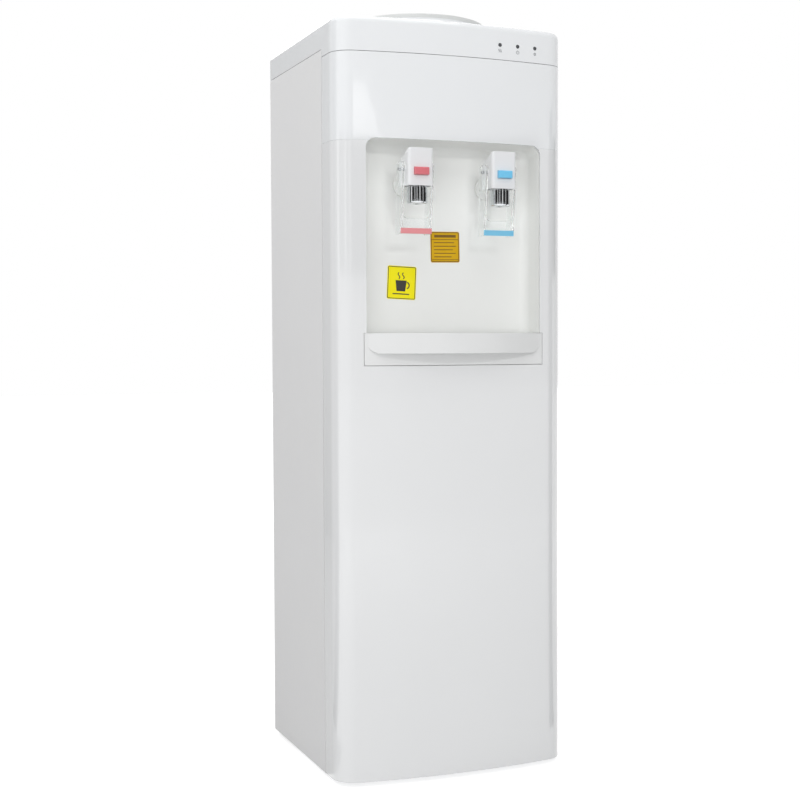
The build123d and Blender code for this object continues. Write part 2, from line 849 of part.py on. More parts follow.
def tap_lever(prefix, x):
    """Makes a tap's clear push lever, its coloured strip and the shaft that turns with it."""
    outer_width = 2 * (arm_inner + arm_thickness)
    with BuildPart() as lever:
        for side in (-1, 1):
            upright_profile(x + side * (arm_inner + arm_thickness / 2),
                            [(lever_front_top, lever_top), (lever_front_bottom, lever_bottom),
                             (lever_back_bottom, lever_bottom), (lever_back_top, lever_top)], arm_thickness)
        top_corners = lever.edges().filter_by(Axis.X).group_by(Axis.Z)[-1]
        fillet(top_corners, 2 * arm_thickness)
        upright_profile(x, [(lever_front(cross_top), cross_top), (lever_front_bottom, lever_bottom),
                            (lever_front_bottom + cross_thickness, lever_bottom),
                            (lever_front(cross_top) + cross_thickness, cross_top)], outer_width)
        with BuildSketch(Plane.YZ.offset(x - outer_width)):
            with Locations((pivot_y, pivot_z)):
                Circle(shaft_radius)
        extrude(amount=2 * outer_width, mode=Mode.SUBTRACT)
    save(lever.part, f"{prefix}_lever")

    strip_top = lever_bottom + strip_height
    with BuildPart() as strip:
        upright_profile(x, [(lever_front(strip_top), strip_top), (lever_front_bottom, lever_bottom),
                            (lever_front_bottom - strip_thickness, lever_bottom),
                            (lever_front(strip_top) - strip_thickness, strip_top)], outer_width)
    save(strip.part, f"{prefix}_lever_strip")

    with BuildPart() as shaft:
        shaft_length = outer_width + 2 * strip_thickness
        with BuildSketch(Plane.YZ.offset(x - shaft_length / 2)):
            with Locations((pivot_y, pivot_z)):
                Circle(shaft_radius)
        extrude(amount=shaft_length)
        with BuildSketch(Plane.YZ.offset(x - finger_half)):
            with Locations(((pivot_y + nozzle_axis) / 2, pivot_z)):
                SlotCenterToCenter(pivot_y - nozzle_axis, 2 * finger_radius)
        extrude(amount=2 * finger_half)
    save(shaft.part, f"{prefix}_lever_shaft")


def tap_valve(prefix, x):
    """Makes a tap's stem, which the lever's finger pushes down, its spring and the push button."""
    stem_top = pivot_z - finger_radius - hole_clearance
    plug_top = valve_seat - hole_clearance
    with BuildPart() as stem:
        for radius, bottom, top in [(plug_radius, plug_top - plug_thickness, plug_top),
                                    (stem_radius, plug_top - plug_thickness, stem_top),
                                    (stem_head_radius, stem_top - stem_head, stem_top)]:
            with BuildSketch(Plane.XY.offset(bottom)):
                with Locations((x, nozzle_axis)):
                    Circle(radius)
            extrude(amount=top - bottom)
    save(stem.part, f"{prefix}_valve_stem")

    spring_bottom = spring_floor + 2 * spring_wire
    spring_height = plug_top - plug_thickness - spring_floor - 4 * spring_wire
    with BuildPart() as spring:
        with BuildLine():
            spring_pitch = spring_height / spring_turns
            Helix(spring_pitch, spring_height, spring_radius, center=(x, nozzle_axis, spring_bottom))
        with BuildSketch(Plane(origin=(x + spring_radius, nozzle_axis, spring_bottom), z_dir=(0, 1, 0))):
            Circle(spring_wire)
        sweep(is_frenet=True)
    save(spring.part, f"{prefix}_stem_spring")

    inner_front = housing_front + housing_wall
    with BuildPart() as button:
        with BuildSketch(facing_front(inner_front + hole_clearance)):
            with Locations((x, button_middle)):
                Rectangle(button_width, button_height)
        extrude(amount=housing_wall + hole_clearance + button_proud)
        fillet(button.faces().sort_by(Axis.Y)[0].edges(), button_rounding)
        with BuildSketch(facing_back(inner_front + hole_clearance)):
            with Locations((-x, button_middle)):
                Rectangle(button_width + 2 * button_margin, button_height + 2 * button_margin)
        extrude(amount=button_flange)
    save(button.part, f"{prefix}_lock_button")


for tap_name, tap_side in (("hot", -1), ("cold", 1)):
    tap_middle = tap_side * tap_spacing / 2
    tap_shell(tap_name, tap_middle)
    tap_lever(tap_name, tap_middle)
    tap_valve(tap_name, tap_middle)

# Cold tank in its foam jacket, with the evaporator coil between them
tank_plane = Plane(origin=(0, tank_y, 0), x_dir=(1, 0, 0), z_dir=(0, -1, 0))
tank_axis = Axis((0, tank_y, 0), (0, 0, 1))
with BuildPart() as cold_tank:
    with BuildSketch(tank_plane):
        with BuildLine():
            Polyline((0, cold_bottom), (cold_radius, cold_bottom), (cold_radius, jacket_top),
                     (jacket_radius, jacket_top), (jacket_radius, cold_top), (0, cold_top),
                     (0, cold_top - tank_wall), (cold_radius - tank_wall, cold_top - tank_wall),
                     (cold_radius - tank_wall, cold_bottom + tank_wall),
                     (0, cold_bottom + tank_wall), close=True)
        make_face()
    revolve(axis=tank_axis)
    round_cut(0, 0, spigot_radius + hole_clearance, cold_top - tank_wall, cold_top)
    round_cut(link_x, link_y, hose_bore, cold_bottom, cold_bottom + tank_wall)
    with BuildSketch(facing_front(0)):
        with Locations((cold_outlet_x, cold_outlet_z)):
            Circle(hose_bore)
    extrude(amount=cold_radius, mode=Mode.SUBTRACT)
save(cold_tank.part, "cold_tank")

with BuildPart() as cold_tank_jacket:
    with BuildSketch(tank_plane):
        with BuildLine():
            Polyline((0, cold_bottom - jacket_floor), (jacket_radius, cold_bottom - jacket_floor),
                     (jacket_radius, jacket_top), (jacket_inside, jacket_top), (jacket_inside, cold_bottom),
                     (0, cold_bottom), close=True)
        make_face()
    revolve(axis=tank_axis)
    round_cut(link_x, link_y, hose_radius + hole_clearance, cold_bottom - jacket_floor, cold_bottom)
    with BuildSketch(facing_front(0)):
        with Locations((cold_outlet_x, cold_outlet_z)):
            Circle(hose_radius + hole_clearance)
    extrude(amount=jacket_radius, mode=Mode.SUBTRACT)
save(cold_tank_jacket.part, "cold_tank_jacket")

coil_radius = cold_radius + coil_tube + hole_clearance
with BuildPart() as evaporator_coil:
    with BuildLine():
        Helix(coil_pitch, coil_pitch * coil_turns, coil_radius, center=(0, tank_y, coil_start + coil_pitch))
    with BuildSketch(Plane(origin=(coil_radius, tank_y, coil_start + coil_pitch), z_dir=(0, 1, 0))):
        Circle(coil_tube)
    sweep(is_frenet=True)
save(evaporator_coil.part, "evaporator_coil")

with BuildPart() as tank_shelves:
    for shelf_top in (cold_bottom - jacket_floor, hot_bottom):
        with BuildSketch(Plane.XY.offset(shelf_top - shelf_thickness)):
            with Locations((0, (shelf_front + shelf_back) / 2)):
                Rectangle(2 * (half_width - sheet - part_gap / 2), shelf_back - shelf_front)
        extrude(amount=shelf_thickness)
    upper_shelf = cold_bottom - jacket_floor
    round_cut(link_x, link_y, hose_radius + hole_clearance, upper_shelf - shelf_thickness, upper_shelf)
    lower_shelf = hot_bottom
    round_cut(drain_top_x, drain_top_y, drain_radius + hole_clearance,
              lower_shelf - shelf_thickness, lower_shelf)
save(tank_shelves.part, "tank_shelves")

with BuildPart() as hot_tank:
    with BuildSketch(tank_plane):
        with BuildLine():
            Polyline((0, hot_bottom), (hot_radius, hot_bottom), (hot_radius, hot_top), (0, hot_top),
                     (0, hot_top - tank_wall), (hot_radius - tank_wall, hot_top - tank_wall),
                     (hot_radius - tank_wall, hot_bottom + tank_wall),
                     (0, hot_bottom + tank_wall), close=True)
        make_face()
    revolve(axis=tank_axis)
    round_cut(link_x, link_y, hose_bore, hot_top - tank_wall, hot_top)
    round_cut(hot_outlet_x, hot_outlet_y, hose_bore, hot_top - tank_wall, hot_top)
    round_cut(drain_top_x, drain_top_y, drain_bore, hot_bottom, hot_bottom + tank_wall)
save(hot_tank.part, "hot_tank")

with BuildPart() as heater_band:
    with BuildSketch(Plane.XY.offset(band_bottom)):
        with Locations((0, tank_y)):
            Circle(hot_radius + hole_clearance + band_thickness)
            Circle(hot_radius + hole_clearance, mode=Mode.SUBTRACT)
    extrude(amount=band_top - band_bottom)
save(heater_band.part, "heater_band")


def hose(name, points, radius, bore, bend):
    """Makes a hose along straight runs joined by arcs, with its bore open at both ends."""
    with BuildLine(mode=Mode.PRIVATE) as route:
        FilletPolyline(*points, radius=bend)
    start = Plane(origin=points[0], z_dir=route.line % 0)
    with BuildPart() as tube:
        with BuildSketch(start):
            Circle(radius)
            Circle(bore, mode=Mode.SUBTRACT)
        sweep(path=route.line)
    save(tube.part, name)


cold_surface = tank_y - math.sqrt(cold_radius**2 - (cold_outlet_x + hose_radius) ** 2)
cold_route = [(cold_outlet_x, cold_surface - 2 * hose_radius, cold_outlet_z),
              (cold_outlet_x, riser_y, cold_outlet_z),
              (tap_spacing / 2, riser_y, neck_height),
              (tap_spacing / 2, neck_end + hose_end_gap, neck_height)]
hot_route = [(hot_outlet_x, hot_outlet_y, hot_top),
             (hot_outlet_x, hot_outlet_y, hot_turn_z),
             (-tap_spacing / 2, riser_y, hot_turn_z),
             (-tap_spacing / 2, riser_y, neck_height),
             (-tap_spacing / 2, neck_end + hose_end_gap, neck_height)]
drain_route = [(drain_top_x, drain_top_y, hot_bottom),
               (drain_top_x, drain_top_y, hot_bottom - 3 * drain_bend),
               (drain_x, drain_top_y + 2 * drain_bend, drain_z),
               (drain_x, drain_end, drain_z)]
hose("cold_hose", cold_route, hose_radius, hose_bore, hose_bend)
hose("hot_hose", hot_route, hose_radius, hose_bore, hose_bend)
hose("drain_hose", drain_route, drain_radius, drain_bore, drain_bend)

with BuildPart() as link_hose:
    with BuildSketch(Plane.XY.offset(hot_top)):
        with Locations((link_x, link_y)):
            Circle(hose_radius)
            Circle(hose_bore, mode=Mode.SUBTRACT)
    extrude(amount=cold_bottom - hot_top)
save(link_hose.part, "link_hose")

with BuildPart() as drain_cap:
    with BuildSketch(facing_back(cap_start)):
        with Locations((-drain_x, drain_z)):
            Circle(cap_radius)
            with PolarLocations(cap_radius, cap_grooves):
                Circle(cap_groove_radius, mode=Mode.SUBTRACT)
    extrude(amount=cap_end - cap_start)
    with BuildSketch(facing_back(cap_start)):
        with Locations((-drain_x, drain_z)):
            Circle(drain_radius + part_gap)
    extrude(amount=drain_end + part_gap - cap_start, mode=Mode.SUBTRACT)
save(drain_cap.part, "drain_cap")

# Compressor on four grommets
with BuildPart() as compressor_grommets:
    with BuildSketch(Plane.XY.offset(pan_top)):
        with Locations((0, compressor_y)):
            with GridLocations(mount_spacing_x, mount_spacing_y, 2, 2):
                Circle(grommet_radius)
    extrude(amount=grommet_height)
save(compressor_grommets.part, "compressor_grommets")

with BuildPart() as compressor:
    dome = compressor_radius / 2
    with BuildSketch(Plane(origin=(0, compressor_y, 0), x_dir=(1, 0, 0), z_dir=(0, -1, 0))):
        with BuildLine():
            Polyline((dome, plate_top), (0, plate_top), (0, compressor_top), (dome, compressor_top))
            RadiusArc((dome, compressor_top), (compressor_radius, compressor_top - dome), dome)
            Line((compressor_radius, compressor_top - dome), (compressor_radius, plate_top + dome))
            RadiusArc((compressor_radius, plate_top + dome), (dome, plate_top), dome)
        make_face()
    revolve(axis=Axis((0, compressor_y, 0), (0, 0, 1)))
    with BuildSketch(Plane.XY.offset(weld_height)):
        with Locations((0, compressor_y)):
            Circle(compressor_radius + mount_plate)
    extrude(amount=mount_plate)
    with BuildSketch(Plane.XY.offset(plate_bottom)):
        with Locations((0, compressor_y)):
            RectangleRounded(mount_plate_x, mount_plate_y, grommet_radius)
    extrude(amount=mount_plate)
    with BuildSketch(Plane.XY.offset(weld_height + 2 * mount_plate)):
        with Locations((-compressor_radius, compressor_y)):
            RectangleRounded(terminal_depth, terminal_width, mount_plate)
    extrude(amount=terminal_width)
save(compressor.part, "compressor")

# Condenser on the back: one tube in runs, upright wires on both faces, two brackets
wire_offset = condenser_tube_radius + wire_gap + condenser_wire
condenser_y = back + overall_reach - wire_offset - condenser_wire
condenser_top = condenser_bottom + (condenser_runs - 1) * condenser_pitch
run_points = []
for run in range(condenser_runs):
    run_side = 1 if run % 2 == 0 else -1
    run_height = condenser_bottom + run * condenser_pitch
    run_points.append((run_side * condenser_half, condenser_y, run_height))
    run_points.append((-run_side * condenser_half, condenser_y, run_height))
run_points[0] = (discharge_x, condenser_y, condenser_bottom)
discharge = [(compressor_radius + hole_clearance, compressor_y, discharge_z),
             (discharge_x, compressor_y, discharge_z), (discharge_x, condenser_y, discharge_z)]
with BuildLine(mode=Mode.PRIVATE) as condenser_route:
    FilletPolyline(*discharge, *run_points, radius=condenser_pitch / 2 - bend_ease)
with BuildPart() as condenser_tube:
    with BuildSketch(Plane(origin=discharge[0], z_dir=condenser_route.line % 0)):
        Circle(condenser_tube_radius)
    sweep(path=condenser_route.line)
save(condenser_tube.part, "condenser_tube")

with BuildPart() as condenser_wires:
    with BuildSketch(Plane.XY.offset(condenser_bottom - wire_overhang)):
        for face in (-1, 1):
            with Locations((0, condenser_y + face * wire_offset)):
                with GridLocations(wire_spacing, wire_spacing, wire_count, 1):
                    Circle(condenser_wire)
    extrude(amount=condenser_top - condenser_bottom + 2 * wire_overhang)
save(condenser_wires.part, "condenser_wires")

bracket_back = condenser_y - wire_offset - condenser_wire - wire_gap
with BuildPart() as condenser_brackets:
    for side in (-1, 1):
        with BuildSketch(Plane.XY.offset(condenser_bottom)):
            with Locations((side * bracket_x, bracket_back - bracket_thickness / 2)):
                Rectangle(bracket_width, bracket_thickness)
        extrude(amount=condenser_top - condenser_bottom)
        for height in (condenser_bottom, (condenser_bottom + condenser_top - bracket_width) / 2,
                       condenser_top - bracket_width):
            with BuildSketch(Plane.XY.offset(height)):
                with Locations((side * bracket_x, (back + bracket_back) / 2)):
                    Rectangle(bracket_width, bracket_back - back)
            extrude(amount=bracket_width)
save(condenser_brackets.part, "condenser_brackets")

# Switches in one bezel, each rocker on its own trunnions
rocker_middles = [switch_x - rocker_pitch / 2, switch_x + rocker_pitch / 2]
with BuildPart() as switch_bezel:
    with BuildSketch(facing_back(back)):
        with Locations((-switch_x, switch_z)):
            RectangleRounded(2 * (bezel_half_x + bezel_margin), 2 * (bezel_half_z + bezel_margin),
                             bezel_margin)
    extrude(amount=bezel_proud)
    with BuildSketch(facing_back(back - bezel_body)):
        with Locations((-switch_x, switch_z)):
            Rectangle(2 * bezel_half_x, 2 * bezel_half_z)
    extrude(amount=bezel_body)
    for middle in rocker_middles:
        with BuildSketch(facing_back(back - bezel_body + bezel_proud)):
            with Locations((-middle, switch_z)):
                Rectangle(2 * (rocker_half + rocker_gap), 2 * (rocker_reach + rocker_face / 2))
        extrude(amount=bezel_body, mode=Mode.SUBTRACT)
        trunnion_half = rocker_half + trunnion_length + hole_clearance
        with BuildSketch(Plane.YZ.offset(middle - trunnion_half)):
            with Locations((rocker_pivot_y, switch_z)):
                Circle(trunnion_radius + running)
        extrude(amount=2 * trunnion_half, mode=Mode.SUBTRACT)
save(switch_bezel.part, "switch_bezel")


def rocker(name, x):
    """Makes a rocker with a shallow vee face, tilted to its off side."""
    end_face = rocker_face + rocker_reach * math.tan(math.radians(rocker_tilt))
    outward = (0, math.cos(math.radians(rocker_tilt)), -math.sin(math.radians(rocker_tilt)))
    tilted = Plane(origin=(x - rocker_half, rocker_pivot_y, switch_z), x_dir=outward, z_dir=(1, 0, 0))
    with BuildPart() as piece:
        with BuildSketch(tilted):
            with BuildLine():
                Polyline((rocker_face, 0), (end_face, rocker_reach), (-rocker_depth, rocker_reach),
                         (-rocker_depth, -rocker_reach), (end_face, -rocker_reach), close=True)
            make_face()
        extrude(amount=2 * rocker_half)
        with BuildSketch(Plane.YZ.offset(x - rocker_half - trunnion_length)):
            with Locations((rocker_pivot_y, switch_z)):
                Circle(trunnion_radius)
        extrude(amount=2 * (rocker_half + trunnion_length))
    save(piece.part, name)


rocker("heating_rocker", rocker_middles[0])
rocker("cooling_rocker", rocker_middles[1])

with BuildPart() as cord_gland:
    with BuildSketch(facing_back(gland_inside)):
        with Locations((-gland_x, gland_z)):
            Circle(gland_radius)
    extrude(amount=gland_outside - gland_inside)
    with BuildSketch(facing_back(back)):
        with Locations((-gland_x, gland_z)):
            Circle(gland_flange)
    extrude(amount=bezel_proud)
    with BuildSketch(facing_back(gland_inside)):
        with Locations((-gland_x, gland_z)):
            Circle(gland_bore)
    extrude(amount=gland_outside - gland_inside, mode=Mode.SUBTRACT)
save(cord_gland.part, "cord_gland")
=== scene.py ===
"""Looks of the floor-standing water dispenser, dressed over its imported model.

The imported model's frame is used: Z is up, the front faces -Y and X runs to the right. Blender
takes metres; the sub-assemblies' fields are in millimetres and degrees, the studio's in metres.
"""

import json
import logging
import math
from collections.abc import Sequence
from dataclasses import dataclass, field, replace
from enum import Enum
from typing import NamedTuple

import bmesh
import bpy
from bmesh.types import BMesh, BMVert
from bpy.types import ID, Material, Node, NodeSocket, NodeTree, Object
from mathutils import Matrix, Vector


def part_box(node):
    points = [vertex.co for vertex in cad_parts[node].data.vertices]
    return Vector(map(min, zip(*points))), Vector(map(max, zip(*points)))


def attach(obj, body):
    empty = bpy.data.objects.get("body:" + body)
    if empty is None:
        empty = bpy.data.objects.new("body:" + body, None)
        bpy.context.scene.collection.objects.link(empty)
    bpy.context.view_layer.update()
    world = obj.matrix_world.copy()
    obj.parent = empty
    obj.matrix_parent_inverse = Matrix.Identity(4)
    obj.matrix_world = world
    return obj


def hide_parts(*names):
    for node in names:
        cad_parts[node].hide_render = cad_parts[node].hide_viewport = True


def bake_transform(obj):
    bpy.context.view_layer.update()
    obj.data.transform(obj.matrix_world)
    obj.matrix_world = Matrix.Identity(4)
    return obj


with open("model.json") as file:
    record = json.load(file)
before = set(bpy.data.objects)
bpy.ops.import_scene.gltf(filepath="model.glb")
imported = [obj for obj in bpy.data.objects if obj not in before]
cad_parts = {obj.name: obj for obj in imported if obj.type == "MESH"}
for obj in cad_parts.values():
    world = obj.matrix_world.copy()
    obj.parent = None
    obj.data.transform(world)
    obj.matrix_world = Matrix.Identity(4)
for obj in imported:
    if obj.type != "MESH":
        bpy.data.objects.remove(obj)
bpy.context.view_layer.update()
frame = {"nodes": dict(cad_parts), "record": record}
RECORD = frame["record"]
BODY_OF = {node: body for body, nodes in RECORD["behaviour"]["bodies"].items() for node in nodes}
SLOT_OF = {row["node"]: row["material_slot"] for row in RECORD["subparts"]}
MM = 0.001
MERGE_DISTANCE = 0.004 * MM
WHITE = (1.0, 1.0, 1.0, 1.0)
QUARTER_STEPS = 8
# The colour sockets of a Mix node come after those for numbers and vectors.
MIX_LOW, MIX_HIGH, MIX_RESULT = 6, 7, 2
log = logging.getLogger("dispenser")

Colour = tuple[float, float, float]
Place = tuple[float, float, float]
Point = tuple[float, float]
Outline = list[Point]


class Mark(Enum):
    """The sign under an indicator lens, in order from the left."""

    HEAT = "heat"
    POWER = "power"
    FROST = "frost"


class Tap(Enum):
    """One of the two taps, by the first word of its node names."""

    HOT = "hot"
    COLD = "cold"


class Grain(Enum):
    """The shared surface pattern that a finish is built on."""

    MOULDED = "moulded_grain"
    BRUSHED = "brushed_grain"
    SPANGLE = "zinc_spangle"


def tone(colour: Colour) -> tuple[float, ...]:
    """Turns a display colour of 0 to 255 into the linear colour that a shader takes.

    Args:
        colour: Red, green and blue of the display colour.

    Returns:
        The linear red, green and blue, and full alpha.
    """
    shares = [channel / 255 for channel in colour]
    linear = [s / 12.92 if s <= 0.04045 else ((s + 0.055) / 1.055) ** 2.4 for s in shares]
    return (*linear, 1.0)


def feed(tree: NodeTree, slot: NodeSocket, item: object) -> None:
    """Links a socket to a node's input, or sets the input's constant.

    Args:
        tree: The node tree.
        slot: The input.
        item: A socket or a constant.
    """
    if isinstance(item, NodeSocket):
        tree.links.new(item, slot)
    else:
        slot.default_value = item


def add_node(tree: NodeTree, kind: str, **items: object) -> Node:
    """Adds a node and fills its inputs by name.

    Args:
        tree: The node tree.
        kind: The node's type.
        items: Sockets or constants, by input name with underscores for spaces.

    Returns:
        The node.
    """
    node = tree.nodes.new(kind)
    for label, item in items.items():
        feed(tree, node.inputs[label.replace("_", " ")], item)
    return node


def calc(tree: NodeTree, kind: str, *items: object) -> NodeSocket:
    """Adds a math node.

    Args:
        tree: The node tree.
        kind: The operation.
        items: Sockets or numbers, in order.

    Returns:
        The node's value socket.
    """
    node = tree.nodes.new("ShaderNodeMath")
    node.operation = kind
    for slot, item in zip(node.inputs, items):
        feed(tree, slot, item)
    return node.outputs[0]


def noise(tree: NodeTree, place: NodeSocket, scale: object, detail: float) -> NodeSocket:
    """Adds a noise texture, whose scale is a socket or a number, and returns its value."""
    node = add_node(tree, "ShaderNodeTexNoise", Vector=place, Scale=scale, Detail=detail)
    return node.outputs["Fac"]


class Draft(NamedTuple):
    """A shader node group that is being built: its tree, its ends and the object's own space."""

    tree: NodeTree
    sizes: Sequence[NodeSocket]
    ends: Sequence[NodeSocket]
    place: NodeSocket


class GroupBench:
    """Builds the shader node groups that the finishes share, each of them once."""

    brush_stretch: Place = (0.04, 0.04, 1.0)
    line_share: float = 0.5
    patch_share: float = 0.6
    upward_power: float = 4.0
    flat_pointiness: float = 0.53
    edge_gain: float = 9.0

    def __init__(self) -> None:
        """Builds the groups for grain, dust and edge wear."""
        self.grains = {
            Grain.MOULDED: self.moulded(),
            Grain.BRUSHED: self.brushed(),
            Grain.SPANGLE: self.spangle(),
        }
        self.dust = self.settled_dust()
        self.wear = self.edge_wear()

    @staticmethod
    def blank(name: str, inputs: dict[str, float], outputs: Sequence[str]) -> Draft:
        """Starts a group with float sockets.

        Args:
            name: The group's name.
            inputs: Each input's name and default.
            outputs: The outputs' names.

        Returns:
            The empty group.
        """
        tree = bpy.data.node_groups.new(name, "ShaderNodeTree")
        for label, value in inputs.items():
            socket = tree.interface.new_socket(name=label, in_out="INPUT",
                                               socket_type="NodeSocketFloat")
            socket.default_value = value
        for label in outputs:
            tree.interface.new_socket(name=label, in_out="OUTPUT", socket_type="NodeSocketFloat")
        sizes = tree.nodes.new("NodeGroupInput").outputs
        ends = tree.nodes.new("NodeGroupOutput").inputs
        return Draft(tree, sizes, ends, tree.nodes.new("ShaderNodeTexCoord").outputs["Object"])

    def blank_grain(self, grain: Grain) -> Draft:
        """Starts a grain's group, with the sockets that every finish sets."""
        return self.blank(grain.value,
                          {"Scale": 900.0, "Blotch": 7.0, "Roughness": 0.3, "Spread": 0.1},
                          ("Tone", "Roughness", "Height"))

    @staticmethod
    def close_grain(draft: Draft, shade: NodeSocket, gloss: NodeSocket,
                    height: NodeSocket) -> NodeTree:
        """Joins a grain's masks to its outputs.

        Args:
            draft: The grain's group.
            shade: The mask between the finish's two colours.
            gloss: The mask that the roughness swings with.
            height: The bump's height.

        Returns:
            The group.
        """
        tree, sizes, ends, _ = draft
        swing = calc(tree, "MULTIPLY", calc(tree, "SUBTRACT", gloss, 0.5), sizes["Spread"])
        tree.links.new(shade, ends["Tone"])
        tree.links.new(calc(tree, "ADD", swing, sizes["Roughness"]), ends["Roughness"])
        tree.links.new(height, ends["Height"])
        return tree

    @staticmethod
    def shared(tree: NodeTree, slow: NodeSocket, quick: NodeSocket, share: float) -> NodeSocket:
        """Adds up a slow and a quick mask, by the quick one's share."""
        return calc(tree, "MULTIPLY_ADD", slow, 1 - share, calc(tree, "MULTIPLY", quick, share))

    def moulded(self) -> NodeTree:
        """Builds the grain of moulded or sprayed surfaces: slow tone, fine pores, uneven gloss.

        Returns:
            The group.
        """
        draft = self.blank_grain(Grain.MOULDED)
        tree, sizes, _, place = draft
        fine = noise(tree, place, sizes["Scale"], detail=2.0)
        slow = noise(tree, place, sizes["Blotch"], detail=4.0)
        return self.close_grain(draft, slow, slow, fine)

    def brushed(self) -> NodeTree:
        """Builds the drawn lines of bare metal, which run round an upright axis.

        Returns:
            The group.
        """
        draft = self.blank_grain(Grain.BRUSHED)
        tree, sizes, _, place = draft
        drawn = add_node(tree, "ShaderNodeMapping", Vector=place, Scale=self.brush_stretch)
        lines = noise(tree, drawn.outputs["Vector"], sizes["Scale"], detail=3.0)
        slow = noise(tree, place, sizes["Blotch"], detail=3.0)
        both = self.shared(tree, slow, lines, self.line_share)
        return self.close_grain(draft, both, lines, lines)

    def spangle(self) -> NodeTree:
        """Builds the crystal patches of galvanised sheet.

        Returns:
            The group.
        """
        draft = self.blank_grain(Grain.SPANGLE)
        tree, sizes, _, place = draft
        cells = add_node(tree, "ShaderNodeTexVoronoi", Vector=place, Scale=sizes["Scale"])
        split = add_node(tree, "ShaderNodeSeparateColor", Color=cells.outputs["Color"])
        patch = split.outputs["Red"]
        slow = noise(tree, place, sizes["Blotch"], detail=3.0)
        both = self.shared(tree, slow, patch, self.patch_share)
        return self.close_grain(draft, both, patch, split.outputs["Green"])

    def settled_dust(self) -> NodeTree:
        """Builds a mask of dust that lies on faces that look up.

        Returns:
            The group.
        """
        tree, sizes, ends, place = self.blank("settled_dust", {"Amount": 0.1, "Scale": 60.0},
                                              ("Mask",))
        normal = tree.nodes.new("ShaderNodeNewGeometry").outputs["Normal"]
        split = add_node(tree, "ShaderNodeSeparateXYZ", Vector=normal)
        up = calc(tree, "POWER", calc(tree, "MAXIMUM", split.outputs["Z"], 0.0),
                  self.upward_power)
        lying = calc(tree, "MULTIPLY", up, noise(tree, place, sizes["Scale"], detail=5.0))
        tree.links.new(calc(tree, "MULTIPLY", lying, sizes["Amount"]), ends["Mask"])
        return tree

    def edge_wear(self) -> NodeTree:
        """Builds a broken mask along convex edges.

        Returns:
            The group.
        """
        tree, sizes, ends, place = self.blank("edge_wear", {"Amount": 0.2, "Scale": 120.0},
                                              ("Mask",))
        point = tree.nodes.new("ShaderNodeNewGeometry").outputs["Pointiness"]
        past_flat = calc(tree, "SUBTRACT", point, self.flat_pointiness)
        edge = calc(tree, "MULTIPLY", calc(tree, "MAXIMUM", past_flat, 0.0), self.edge_gain)
        broken = calc(tree, "MULTIPLY", edge, noise(tree, place, sizes["Scale"], detail=4.0))
        mask = calc(tree, "MULTIPLY", broken, sizes["Amount"])
        tree.links.new(calc(tree, "MINIMUM", mask, 1.0), ends["Mask"])
        return tree


